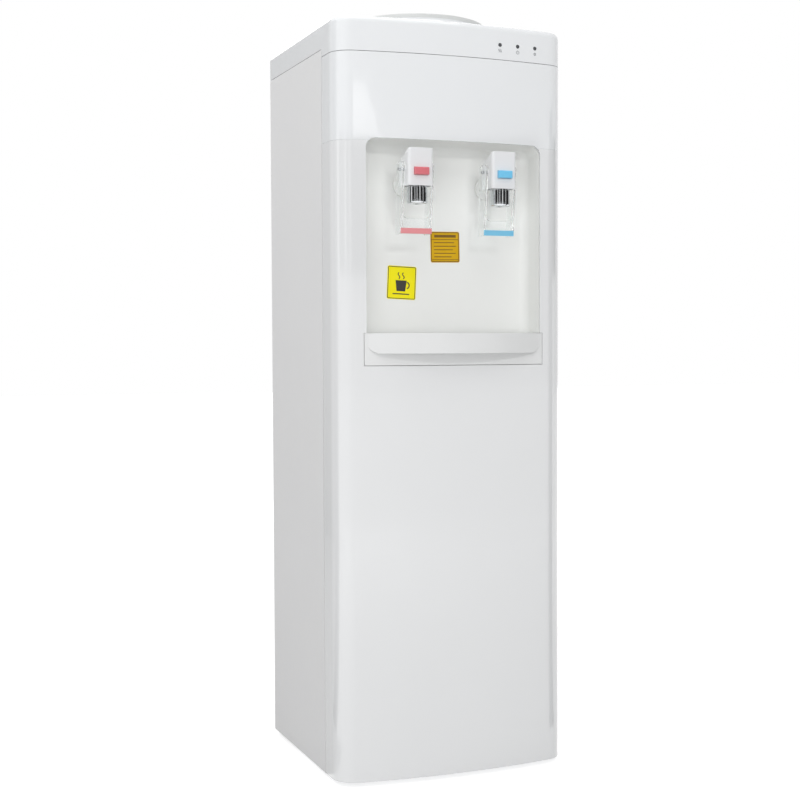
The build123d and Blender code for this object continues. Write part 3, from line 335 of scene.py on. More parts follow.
@dataclass(frozen=True)
class Finish:
    """A surface finish: its display colours, gloss, grain, dust and wear.

    A coat is smoother than what it lies on, by coat_polish times.
    """

    name: str
    colour: Colour
    deep: Colour
    roughness: float = 0.3
    spread: float = 0.06
    grain: Grain = Grain.MOULDED
    grain_scale: float = 900.0
    grain_depth: float = 0.02
    blotch: float = 7.0
    metallic: float = 0.0
    coat: float = 0.0
    transmission: float = 0.0
    clear: bool = False
    ior: float = 1.5
    specular: float = 0.5
    dust: float = 0.0
    dust_colour: Colour = (176, 172, 164)
    wear: float = 0.0
    worn: Colour = (230, 230, 230)
    shadow: Colour = (222, 224, 224)
    coat_polish: float = 3.0

    def like(self, name: str, colour: Colour, deep: Colour, **changes: object) -> "Finish":
        """Returns a finish of the same family, with its own name, colours and other changes."""
        return replace(self, name=name, colour=colour, deep=deep, **changes)

    def material(self, groups: GroupBench) -> Material:
        """Returns the finish's material, built on its first use.

        Args:
            groups: The shared shader node groups.

        Returns:
            The material.
        """
        made = bpy.data.materials.get(self.name)
        if made:
            return made
        made = bpy.data.materials.new(self.name)
        made.use_nodes = True
        tree = made.node_tree
        shader = tree.nodes["Principled BSDF"]
        for label, value in (("Metallic", self.metallic), ("IOR", self.ior),
                             ("Specular IOR Level", self.specular), ("Coat Weight", self.coat),
                             ("Coat Roughness", self.roughness / self.coat_polish),
                             ("Transmission Weight", self.transmission)):
            shader.inputs[label].default_value = value
        grain = self.use(tree, groups.grains[self.grain], Scale=self.grain_scale,
                         Blotch=self.blotch, Roughness=self.roughness, Spread=self.spread)
        colour = self.mixed(tree, grain.outputs["Tone"], tone(self.deep), tone(self.colour))
        if self.wear:
            wear = self.use(tree, groups.wear, Amount=self.wear)
            colour = self.mixed(tree, wear.outputs["Mask"], colour, tone(self.worn))
        if self.dust:
            dust = self.use(tree, groups.dust, Amount=self.dust)
            colour = self.mixed(tree, dust.outputs["Mask"], colour, tone(self.dust_colour))
        bump = add_node(tree, "ShaderNodeBump", Strength=self.grain_depth, Distance=MM,
                        Height=grain.outputs["Height"])
        tree.links.new(colour, shader.inputs["Base Color"])
        tree.links.new(grain.outputs["Roughness"], shader.inputs["Roughness"])
        tree.links.new(bump.outputs["Normal"], shader.inputs["Normal"])
        if self.clear:
            self.pass_light(tree, shader)
        return made

    @staticmethod
    def use(tree: NodeTree, group: NodeTree, **sizes: float) -> Node:
        """Adds a shared group to a material.

        Args:
            tree: The material's tree.
            group: The group.
            sizes: The values of its inputs, by name.

        Returns:
            The group's node.
        """
        node = tree.nodes.new("ShaderNodeGroup")
        node.node_tree = group
        for label, value in sizes.items():
            node.inputs[label].default_value = value
        return node

    def pass_light(self, tree: NodeTree, shader: Node) -> None:
        """Lets lamps shine through a clear material, so that it casts hardly any shadow.

        Args:
            tree: The material's tree.
            shader: Its surface shader.
        """
        rays = tree.nodes.new("ShaderNodeLightPath")
        open_air = add_node(tree, "ShaderNodeBsdfTransparent", Color=tone(self.shadow))
        either = add_node(tree, "ShaderNodeMixShader", Fac=rays.outputs["Is Shadow Ray"])
        tree.links.new(shader.outputs["BSDF"], either.inputs[1])
        tree.links.new(open_air.outputs["BSDF"], either.inputs[2])
        tree.links.new(either.outputs["Shader"], tree.nodes["Material Output"].inputs["Surface"])

    @staticmethod
    def mixed(tree: NodeTree, mask: NodeSocket, low: object, high: object) -> NodeSocket:
        """Mixes two colours by a mask that changes over the surface.

        Args:
            tree: The material's tree.
            mask: The mask socket.
            low: A colour or a colour socket where the mask is 0.
            high: A colour or a colour socket where the mask is 1.

        Returns:
            The mixed colour socket.
        """
        node = add_node(tree, "ShaderNodeMix", Factor=mask)
        node.data_type = "RGBA"
        feed(tree, node.inputs[MIX_LOW], low)
        feed(tree, node.inputs[MIX_HIGH], high)
        return node.outputs[MIX_RESULT]


GLOSS_WHITE = Finish("gloss_white_moulding", (233, 234, 235), (230, 231, 232), 0.11, 0.03,
                     grain_scale=420.0, grain_depth=0.01, coat=0.9, dust=0.12)
# Painted light: the header panel, top cover and seam tongue take a lighter copy of the front's
# gloss white, a painted highlight for the stronger light that falls on the top of the casing.
HEADER_PAINTED_LIGHT_WHITE = GLOSS_WHITE.like("header_white_painted_light", (237, 239, 241), (234, 236, 238))
MATTE_WHITE = Finish("matte_white_liner", (240, 241, 239), (236, 237, 235), 0.48, 0.08,
                     grain_scale=2200.0, grain_depth=0.09, dust=0.1)
SHEET_WHITE = Finish("painted_white_sheet", (232, 232, 232), (228, 228, 229), 0.36, 0.06,
                     grain_scale=700.0, grain_depth=0.06, specular=0.25, wear=0.2,
                     worn=(205, 205, 205), dust=0.1)
ZINC_SHEET = Finish("galvanised_sheet", (196, 199, 202), (150, 154, 158), 0.42, 0.2, Grain.SPANGLE,
                    grain_scale=85.0, grain_depth=0.05, metallic=0.75, dust=0.3)
PALE_GREY = Finish("pale_grey_moulding", (217, 219, 218), (209, 211, 210), 0.33, 0.06,
                   grain_scale=1500.0, grain_depth=0.05, dust=0.15)
TAP_WHITE = Finish("tap_white_moulding", (239, 240, 242), (236, 237, 239), 0.16, 0.03,
                   grain_scale=600.0, grain_depth=0.01, coat=0.6, dust=0.08)
TRAY_WHITE = Finish("tray_white_moulding", (234, 235, 235), (230, 231, 231), 0.34, 0.05,
                    grain_scale=700.0, dust=0.1)
GRILLE_WHITE = PALE_GREY.like("grille_white_moulding", (240, 241, 240), (234, 236, 235),
                              roughness=0.36, dust=0.1)
CLEAR = Finish("clear_moulding", (253, 254, 254), (249, 251, 251), 0.03, 0.02, grain_scale=350.0,
               grain_depth=0.002, transmission=0.95, clear=True, ior=1.24)
HOT_RED = Finish("hot_red_moulding", (224, 122, 131), (215, 111, 120), 0.28, 0.05,
                 grain_scale=1300.0, grain_depth=0.03, wear=0.25, worn=(236, 160, 166))
COLD_BLUE = HOT_RED.like("cold_blue_moulding", (124, 207, 246), (113, 196, 237),
                         worn=(160, 208, 232))
HOT_STRIP = HOT_RED.like("hot_strip_moulding", (234, 150, 154), (226, 138, 142), roughness=0.32,
                         worn=(242, 184, 188))
COLD_STRIP = HOT_STRIP.like("cold_strip_moulding", (124, 200, 234), (112, 190, 226),
                            worn=(172, 216, 236))
CHROME = Finish("bright_plating", (222, 224, 226), (206, 209, 212), 0.07, 0.05, grain_scale=500.0,
                grain_depth=0.01, metallic=1.0)
STEEL = Finish("drawn_steel", (196, 197, 199), (168, 170, 173), 0.3, 0.16, Grain.BRUSHED,
               grain_scale=1800.0, grain_depth=0.05, metallic=1.0)
FOAM = Finish("moulded_foam", (240, 240, 234), (226, 226, 219), 0.85, 0.1, grain_scale=420.0,
              grain_depth=0.5)
COPPER = STEEL.like("drawn_copper", (204, 132, 96), (166, 98, 70), spread=0.18,
                    grain_scale=1200.0)
BLACK_PAINT = Finish("satin_black_paint", (38, 38, 40), (28, 28, 30), 0.42, 0.14,
                     grain_depth=0.08, wear=0.5, worn=(104, 104, 104), dust=0.35)
BLACK_PLASTIC = Finish("moulded_black", (44, 44, 46), (34, 34, 36), 0.45, 0.1, grain_scale=2400.0,
                       grain_depth=0.12, wear=0.3, worn=(92, 92, 92), dust=0.2)
RUBBER = Finish("moulded_rubber", (52, 51, 50), (40, 39, 38), 0.72, 0.12, grain_scale=1600.0,
                grain_depth=0.2, dust=0.3)
SILICONE = Finish("milky_silicone", (226, 228, 226), (208, 212, 210), 0.4, 0.1, grain_depth=0.05,
                  transmission=0.25, ior=1.42)
LENS = Finish("dark_lens", (70, 72, 76), (48, 50, 54), 0.14, 0.05, grain_depth=0.01, coat=0.4)
BOARD = Finish("board_lacquer", (52, 116, 74), (38, 96, 60), 0.4, 0.1, grain_scale=1400.0,
               grain_depth=0.06)
AMBER_FILM = Finish("amber_film", (218, 172, 12), (204, 158, 6), 0.5, 0.1, blotch=40.0,
                    grain_scale=1800.0, grain_depth=0.03, specular=0.15, wear=0.2,
                    worn=(238, 214, 130))
YELLOW_FILM = AMBER_FILM.like("yellow_film", (250, 238, 8), (243, 229, 4), specular=0.12,
                              worn=(246, 240, 150))
BROWN_INK = Finish("brown_print", (126, 92, 22), (104, 74, 16), 0.5, 0.1, blotch=300.0,
                   grain_scale=2500.0, grain_depth=0.03)
BLACK_INK = BROWN_INK.like("black_print", (58, 56, 50), (40, 39, 36))
GREY_INK = BROWN_INK.like("grey_print", (128, 130, 134), (108, 110, 114))

SLOT_FINISH = {
    "white_gloss": GLOSS_WHITE, "white_matte": MATTE_WHITE, "white_sheet": SHEET_WHITE,
    "grey_sheet": ZINC_SHEET, "grey_plastic": PALE_GREY, "clear": CLEAR, "red": HOT_RED,
    "blue": COLD_BLUE, "chrome": CHROME, "steel": STEEL, "foam": FOAM, "copper": COPPER,
    "black_metal": BLACK_PAINT, "black_plastic": BLACK_PLASTIC, "rubber": RUBBER,
    "silicone": SILICONE, "lens": LENS, "board": BOARD,
}


def link_object(name: str, data: ID) -> Object:
    """Makes an object and links it to the scene.

    Args:
        name: The object's name.
        data: Its mesh, lamp or camera data.

    Returns:
        The object.
    """
    made = bpy.data.objects.new(name, data)
    bpy.context.scene.collection.objects.link(made)
    return made


def link_mesh(name: str, work: BMesh) -> Object:
    """Makes a linked object from mesh data.

    Args:
        name: The piece's name.
        work: The mesh data, which is freed.

    Returns:
        The object.
    """
    mesh = bpy.data.meshes.new(name)
    work.to_mesh(mesh)
    work.free()
    return link_object(name, mesh)


def settle(carrier: Object, name: str) -> Object:
    """Turns what a carrier's modifiers make into a plain piece, and removes the carrier.

    Args:
        carrier: The object with the modifiers.
        name: The piece's name.

    Returns:
        The piece, with no modifier.
    """
    bpy.context.view_layer.update()
    depsgraph = bpy.context.evaluated_depsgraph_get()
    mesh = bpy.data.meshes.new_from_object(carrier.evaluated_get(depsgraph))
    carrier.modifiers.clear()
    bpy.data.objects.remove(carrier)
    return link_object(name, mesh)


def smooth(piece: Object, angle: float) -> None:
    """Shades a piece smooth, with edges from an angle in degrees on kept sharp."""
    piece.data.shade_smooth()
    piece.data.set_sharp_from_angle(angle=math.radians(angle))


def round_edges(piece: Object, width: float, segments: int, angle: float = 38.0) -> None:
    """Gives a piece live rounded edges.

    Args:
        piece: The piece.
        width: The rounding's width in millimetres.
        segments: How many faces cross the rounding.
        angle: The angle in degrees from which an edge is rounded.
    """
    smooth(piece, 180.0)
    bevel = piece.modifiers.new("round_edges", "BEVEL")
    bevel.width = width * MM
    bevel.segments = segments
    bevel.limit_method = "ANGLE"
    bevel.angle_limit = math.radians(angle)
    bevel.harden_normals = True
    bevel.use_clamp_overlap = True
    bevel.miter_outer = "MITER_ARC"


def merged(node: str) -> BMesh:
    """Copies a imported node's mesh, with its loose triangles merged.

    Args:
        node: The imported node.

    Returns:
        The mesh data.
    """
    work = bmesh.new()
    work.from_mesh(frame["nodes"][node].data)
    bmesh.ops.remove_doubles(work, verts=work.verts, dist=MERGE_DISTANCE)
    return work


def cad_copy(node: str, name: str, flat: float = 0.6) -> Object:
    """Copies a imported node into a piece, with its flat faces joined.

    Args:
        node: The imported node.
        name: The new piece's name.
        flat: The angle in degrees under which neighbouring faces are joined, or 0 to keep them.

    Returns:
        The copy.
    """
    work = merged(node)
    if flat:
        bmesh.ops.dissolve_limit(work, angle_limit=math.radians(flat), verts=work.verts,
                                 edges=work.edges)
    piece = link_mesh(name, work)
    normals = piece.data.attributes.get("custom_normal")
    if normals:
        piece.data.attributes.remove(normals)
    return piece


def lathe(name: str, profile: Sequence[Point], centre: Point, steps: int) -> Object:
    """Turns a closed outline about an upright axis.

    Args:
        name: The piece's name.
        profile: The outline's (radius, height) points, in order round a closed loop.
        centre: The axis's place in plan.
        steps: How many faces go round.

    Returns:
        The turned piece.
    """
    work = bmesh.new()
    rings = []
    for step in range(steps):
        turn = 2 * math.pi * step / steps
        rings.append([work.verts.new((centre[0] + r * math.cos(turn),
                                      centre[1] + r * math.sin(turn), z)) for r, z in profile])
    for step in range(steps):
        here, there = rings[step], rings[(step + 1) % steps]
        for index in range(len(profile)):
            after = (index + 1) % len(profile)
            work.faces.new((here[index], there[index], there[after], here[after]))
    bmesh.ops.recalc_face_normals(work, faces=work.faces)
    return link_mesh(name, work)


def slab(work: BMesh, outline: Sequence[Vector], thick: float) -> None:
    """Adds a closed plate that reaches back from an outline.

    Args:
        work: The mesh to add to.
        outline: The front face's points in order.
        thick: The plate's thickness in millimetres.
    """
    push = Vector((0, thick * MM, 0))
    near = [work.verts.new(point) for point in outline]
    far = [work.verts.new(point + push) for point in outline]
    faces = [work.faces.new(near), work.faces.new(list(reversed(far)))]
    for index in range(len(outline)):
        after = (index + 1) % len(outline)
        faces.append(work.faces.new((near[after], near[index], far[index], far[after])))
    bmesh.ops.recalc_face_normals(work, faces=faces)


def arc(middle: Point, radius: float, start: float, end: float, steps: int) -> Outline:
    """Returns an arc's points, from one turn in degrees to another, in equal steps."""
    turns = [math.radians(start + (end - start) * step / steps) for step in range(steps + 1)]
    return [(middle[0] + radius * math.cos(t), middle[1] + radius * math.sin(t)) for t in turns]


def wave(middle: float, sway: float, foot: float, rise: float, steps: int = 8) -> Outline:
    """Returns an upright line's points, which sway once to each side on the way up."""
    return [(middle + sway * math.sin(2 * math.pi * step / steps), foot + rise * step / steps)
            for step in range(steps + 1)]


def rounded_outline(half: Point, radius: float, steps: int) -> Outline:
    """Returns a rounded rectangle's points about its middle, in order.

    Args:
        half: Half the width and height.
        radius: The corners' radius.
        steps: How many stretches each corner has.

    Returns:
        The points.
    """
    points = []
    for quarter, (sx, sz) in enumerate(((1, 1), (-1, 1), (-1, -1), (1, -1))):
        middle = (sx * (half[0] - radius), sz * (half[1] - radius))
        points += arc(middle, radius, 90.0 * quarter, 90.0 * (quarter + 1), steps)
    return points


def ribbon(points: Sequence[Point], width: float) -> list[Outline]:
    """Returns the four-cornered patches of a flat ribbon along a line.

    Args:
        points: The line's points.
        width: The ribbon's width.

    Returns:
        One outline for each stretch.
    """
    sides = []
    for index, point in enumerate(points):
        before = Vector(points[max(index - 1, 0)])
        after = Vector(points[min(index + 1, len(points) - 1)])
        run = (after - before).normalized()
        across = Vector((-run.y, run.x)) * width / 2
        sides.append((tuple(Vector(point) + across), tuple(Vector(point) - across)))
    return [[here[0], there[0], there[1], here[1]] for here, there in zip(sides, sides[1:])]


@dataclass(frozen=True)
class Spring:
    """The far end of a spring: the body that pushes it, and the spring's two ends at rest."""

    body: str
    start: Place
    end: Place


@dataclass
class Workshop:
    """Dresses pieces, hangs them on their bodies and reports them."""

    groups: GroupBench = field(default_factory=GroupBench)
    shown: set[str] = field(default_factory=set)

    def dress(self, piece: Object, finish: Finish) -> None:
        """Gives a piece one finish all over."""
        piece.data.materials.clear()
        piece.data.materials.append(finish.material(self.groups))

    def hang(self, piece: Object, body: str, slot: str, finish: Finish,
             nodes: Sequence[str] = (), far: Spring | None = None) -> None:
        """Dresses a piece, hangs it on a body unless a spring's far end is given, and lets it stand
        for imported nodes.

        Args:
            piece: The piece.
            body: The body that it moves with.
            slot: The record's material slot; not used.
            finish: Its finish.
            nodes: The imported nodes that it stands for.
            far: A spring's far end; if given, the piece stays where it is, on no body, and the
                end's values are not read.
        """
        self.dress(piece, finish)
        if far:
            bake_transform(piece)
        else:
            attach(piece, body)
        for node in nodes:
            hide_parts(node)
            self.shown.add(node)
        log.info("piece %s on %s, finish %s, stands for %s", piece.name, body, finish.name,
                 list(nodes))

    def stand_in(self, piece: Object, node: str, finish: Finish | None = None,
                 far: Spring | None = None) -> None:
        """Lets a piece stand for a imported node, with its slot's finish or another."""
        slot = SLOT_OF[node]
        self.hang(piece, BODY_OF[node], slot, finish or SLOT_FINISH[slot], [node], far)

    def soften(self, node: str, width: float, segments: int = 3,
               finish: Finish | None = None) -> None:
        """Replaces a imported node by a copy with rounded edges.

        Args:
            node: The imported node.
            width: The rounding in millimetres.
            segments: How many faces cross the rounding.
            finish: A finish other than its slot's.
        """
        piece = cad_copy(node, f"{node}_shape")
        round_edges(piece, width, segments)
        self.stand_in(piece, node, finish)

    def polish(self, node: str, angle: float, finish: Finish | None = None, flat: float = 0.6,
               far: Spring | None = None) -> None:
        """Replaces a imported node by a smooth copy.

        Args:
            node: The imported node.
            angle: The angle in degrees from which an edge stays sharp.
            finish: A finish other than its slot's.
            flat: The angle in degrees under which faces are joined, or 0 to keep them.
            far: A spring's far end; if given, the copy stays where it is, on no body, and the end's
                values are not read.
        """
        piece = cad_copy(node, f"{node}_shape", flat)
        smooth(piece, angle)
        self.stand_in(piece, node, finish, far)

    def finish_rest(self) -> None:
        """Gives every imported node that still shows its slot's finish."""
        for node, piece in frame["nodes"].items():
            if node not in self.shown:
                self.dress(piece, SLOT_FINISH[SLOT_OF[node]])
                log.info("node %s, finish %s", node, SLOT_FINISH[SLOT_OF[node]].name)


@dataclass
class Casing:
    """The front mouldings, top cover, side sheets, indicators and bottle seat."""

    shop: Workshop
    cover_rounding: float = 0.6
    seam_rounding: float = 0.2
    sheet_rounding: float = 0.15
    probe_rounding: float = 0.6
    lens_rounding: float = 0.5
    seat_angle: float = 32.0
    tongue_inset: float = 0.35
    tongue_play: float = 0.04
    sole_slack: float = 0.01
    sole_facing: float = -0.99
    bow_sag: float = 14.4
    mark_drop: float = 7.4
    mark_half: float = 2.1
    mark_stroke: float = 0.55
    print_lift: float = 0.12

    def build(self) -> None:
        """Builds and dresses the casing's pieces."""
        # The top cover and header panel take the lighter white, painted light for the top of the
        # casing.
        self.shop.soften("top_cover", self.cover_rounding, finish=HEADER_PAINTED_LIGHT_WHITE)
        self.shop.soften("header_panel", self.seam_rounding, segments=2, finish=HEADER_PAINTED_LIGHT_WHITE)
        self.shop.soften("front_panel", self.seam_rounding, segments=2)
        for node in ("left_side_panel", "right_side_panel"):
            self.shop.soften(node, self.sheet_rounding, segments=2)
        self.shop.polish("bottle_seat", self.seat_angle)
        self.shop.soften("bottle_probe", self.probe_rounding)
        self.shop.soften("indicator_lenses", self.lens_rounding)
        self.seam_tongue()
        self.signs()

    def seam_tongue(self) -> None:
        """Fills the seam under the header with a tongue that lies a little behind the surface."""
        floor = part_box("header_panel")[0].z
        play = self.tongue_play * MM
        drop = Vector((0, 0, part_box("front_panel")[1].z - floor + play))
        work = merged("header_panel")
        off_sole = [face for face in work.faces if face.normal.z >= self.sole_facing
                    or abs(face.calc_center_median().z - floor) >= self.sole_slack * MM]
        bmesh.ops.delete(work, geom=off_sole, context="FACES")
        rim = bmesh.ops.inset_region(work, faces=work.faces[:], thickness=self.tongue_inset * MM,
                                     use_boundary=True)
        bmesh.ops.delete(work, geom=rim["faces"], context="FACES")
        lower = bmesh.ops.extrude_face_region(work, geom=work.faces[:])["geom"]
        bmesh.ops.translate(work, vec=drop,
                            verts=[v for v in lower if isinstance(v, BMVert)])
        bmesh.ops.translate(work, vec=Vector((0, 0, -play / 2)), verts=work.verts)
        bmesh.ops.recalc_face_normals(work, faces=work.faces)
        piece = link_mesh("header_tongue", work)
        # The tongue takes the header's lighter white, painted light like the header's.
        self.shop.hang(piece, "cabinet", SLOT_OF["header_panel"], HEADER_PAINTED_LIGHT_WHITE)

    def bow(self, x: float) -> float:
        """Returns the depth of the bowed front at a place across it.

        Args:
            x: The place across, in metres.

        Returns:
            The depth, in metres.
        """
        low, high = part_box("header_panel")
        half = (high.x - low.x) / 2
        sag = self.bow_sag * MM
        radius = (half**2 + sag**2) / (2 * sag)
        return low.y + radius - math.sqrt(radius**2 - x**2)

    def signs(self) -> None:
        """Prints a generic sign under each indicator lens."""
        draw = {Mark.HEAT: self.heat, Mark.POWER: self.power, Mark.FROST: self.frost}
        low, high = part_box("indicator_lenses")
        radius = (high.z - low.z) / 2
        middle = (low.z + high.z) / 2 - self.mark_drop * MM
        step = (high.x - low.x - 2 * radius) / 2
        work = bmesh.new()
        for index, mark in enumerate(Mark):
            left = low.x + radius + index * step
            for patch in draw[mark]():
                spots = [(left + u * MM, middle + v * MM) for u, v in patch]
                slab(work, [Vector((x, self.bow(x) - self.print_lift * MM, z)) for x, z in spots],
                     self.print_lift)
        self.shop.hang(link_mesh("indicator_signs", work), "cabinet", "lens", GREY_INK)

    def heat(self) -> list[Outline]:
        """Draws three rising waves.

        Returns:
            The patches' outlines about the sign's middle.
        """
        half = self.mark_half
        spacing, sway = 0.75 * half, 0.25 * half
        patches: list[Outline] = []
        for middle in (-spacing, 0.0, spacing):
            patches += ribbon(wave(middle, sway, -half, 2 * half), self.mark_stroke)
        return patches

    def power(self) -> list[Outline]:
        """Draws an open ring with a bar in its gap.

        Returns:
            The patches' outlines about the sign's middle.
        """
        half, gap, steps = self.mark_half, 40.0, 10
        bar_foot, bar_head = 0.1 * half, 1.2 * half
        ring = arc((0.0, 0.0), half, 90.0 + gap, 450.0 - gap, steps)
        bar = [(0.0, bar_foot), (0.0, bar_head)]
        return ribbon(ring, self.mark_stroke) + ribbon(bar, self.mark_stroke)

    def frost(self) -> list[Outline]:
        """Draws a six-armed star with twigs that lean one radian off their arms.

        Returns:
            The patches' outlines about the sign's middle.
        """
        arms, first_turn = 6, 30.0
        hub, fork, twig_length = 0.25, 0.6, 0.35 * self.mark_half
        arm_stroke, twig_stroke = 0.8 * self.mark_stroke, 0.7 * self.mark_stroke
        patches: list[Outline] = []
        for arm in range(arms):
            turn = math.radians(360 / arms * arm + first_turn)
            tip = Vector((math.cos(turn), math.sin(turn))) * self.mark_half
            patches += ribbon([tuple(hub * tip), tuple(tip)], arm_stroke)
            root = fork * tip
            for lean in (-1.0, 1.0):
                twig = Vector((math.cos(turn + lean), math.sin(turn + lean))) * twig_length
                patches += ribbon([tuple(root), tuple(root + twig)], twig_stroke)
        return patches


class Bar(NamedTuple):
    """A level bar of print, from a film's middle."""

    left: float
    right: float
    height: float
    stroke: float

    def patches(self) -> list[Outline]:
        """Returns the bar's outline, in a list."""
        return ribbon([(self.left, self.height), (self.right, self.height)], self.stroke)


@dataclass(frozen=True)
class Film:
    """A film on the niche's back wall: its place, half sizes, turn, finish and ink."""

    name: str
    middle: Point
    half: Point
    turn: float
    finish: Finish
    ink: Finish
    border: float
    border_inset: float = 1.2
    corner: float = 2.5
    least_corner: float = 0.6
    corner_steps: int = 7
    line_steps: int = 5

    def frame_line(self) -> list[Outline]:
        """Draws a line inside the film's edge.

        Returns:
            The line's outlines about the film's middle.
        """
        inset = self.border_inset
        loop = rounded_outline((self.half[0] - inset, self.half[1] - inset),
                               max(self.corner - inset, self.least_corner), self.line_steps)
        return ribbon([*loop, loop[0]], self.border)


@dataclass
class Niche:
    """The dispensing niche's liner and the two films on its back wall."""

    shop: Workshop
    liner_angle: float = 30.0
    film_thickness: float = 0.25
    print_lift: float = 0.08
    amber: Film = Film("amber_film_plate", (0.0, 688.0), (20.5, 20.0), 1.0, AMBER_FILM, BROWN_INK,
                       border=1.1)
    yellow: Film = Film("yellow_film_plate", (-61.0, 641.0), (20.0, 21.5), -2.5, YELLOW_FILM,
                        BLACK_INK, border=0.9)
    heading: Bar = Bar(-15.0, 15.5, 14.2, 3.4)
    divider: Bar = Bar(-18.6, 18.6, 9.8, 0.8)
    first_rule: Bar = Bar(-15.5, 0.0, 5.8, 1.0)
    rule_ends: tuple[float, ...] = (13.0, 15.5, 11.0, 15.0, 9.0)
    rule_step: float = 4.6
    footing: Bar = Bar(-18.6, 18.6, -16.4, 0.8)
    cup: tuple[Point, ...] = ((-8.5, 3.0), (7.0, 3.0), (5.2, -11.0), (-6.7, -11.0))
    handle_middle: Point = (6.4, -3.2)
    handle_radius: float = 4.2
    handle_reach: float = 75.0
    handle_steps: int = 10
    handle_stroke: float = 1.6
    wisps: Point = (-4.0, 2.0)
    wisp_sway: float = 1.3
    wisp_foot: float = 5.0
    wisp_rise: float = 8.0
    wisp_stroke: float = 1.3
    saucer: Bar = Bar(-12.0, 11.0, -14.5, 1.4)

    def build(self) -> None:
        """Builds and dresses the niche's pieces."""
        self.shop.polish("niche_liner", self.liner_angle)
        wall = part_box("hot_tap_gasket")[1].y
        self.stick(self.amber, wall, self.ruled_print())
        self.stick(self.yellow, wall, self.cup_print())

    def stick(self, film: Film, wall: float, patches: Sequence[Sequence[Point]]) -> None:
        """Makes one film with its print, flat on the back wall.

        Args:
            film: The film.
            wall: The wall's depth, in metres.
            patches: The print's outlines about the film's middle.
        """
        spin = Matrix.Rotation(math.radians(film.turn), 2)

        def spot(point: Point, lift: float) -> Vector:
            """Returns a film point's place, lifted off the wall."""
            at = spin @ Vector(point) + Vector(film.middle)
            return Vector((at.x * MM, wall - lift * MM, at.y * MM))

        plate = bmesh.new()
        edge = rounded_outline(film.half, film.corner, film.corner_steps)
        slab(plate, [spot(p, self.film_thickness) for p in edge], self.film_thickness)
        self.shop.hang(link_mesh(film.name, plate), "cabinet", SLOT_OF["hot_lever_strip"],
                       film.finish)
        lines = bmesh.new()
        lift = self.film_thickness + self.print_lift
        for patch in patches:
            slab(lines, [spot(p, lift) for p in patch], self.print_lift)
        self.shop.hang(link_mesh(f"{film.name}_print", lines), "cabinet", "lens", film.ink)

    def ruled_print(self) -> list[Outline]:
        """Draws a plain frame with a heading bar and ruled lines.

        Returns:
            The outlines about the film's middle.
        """
        first = self.first_rule
        rules = [first._replace(right=end, height=first.height - self.rule_step * row)
                 for row, end in enumerate(self.rule_ends)]
        patches = self.amber.frame_line()
        for bar in (self.heading, self.divider, *rules, self.footing):
            patches += bar.patches()
        return patches

    def cup_print(self) -> list[Outline]:
        """Draws a plain frame round a cup with two wisps over it.

        Returns:
            The outlines about the film's middle.
        """
        handle = arc(self.handle_middle, self.handle_radius, -self.handle_reach,
                     self.handle_reach, self.handle_steps)
        patches = self.yellow.frame_line()
        patches += [list(self.cup), *ribbon(handle, self.handle_stroke)]
        for middle in self.wisps:
            wisp = wave(middle, self.wisp_sway, self.wisp_foot, self.wisp_rise)
            patches += ribbon(wisp, self.wisp_stroke)
        return patches + self.saucer.patches()


@dataclass
class DripTray:
    """The pull-out tray and its lift-off grille, whose many slots keep all their faces."""

    shop: Workshop
    lip_rounding: float = 1.6
    grille_angle: float = 38.0

    def build(self) -> None:
        """Builds and dresses the tray's pieces."""
        self.shop.soften("drip_tray", self.lip_rounding, segments=4, finish=TRAY_WHITE)
        self.shop.polish("drip_grille", self.grille_angle, GRILLE_WHITE, flat=0.0)


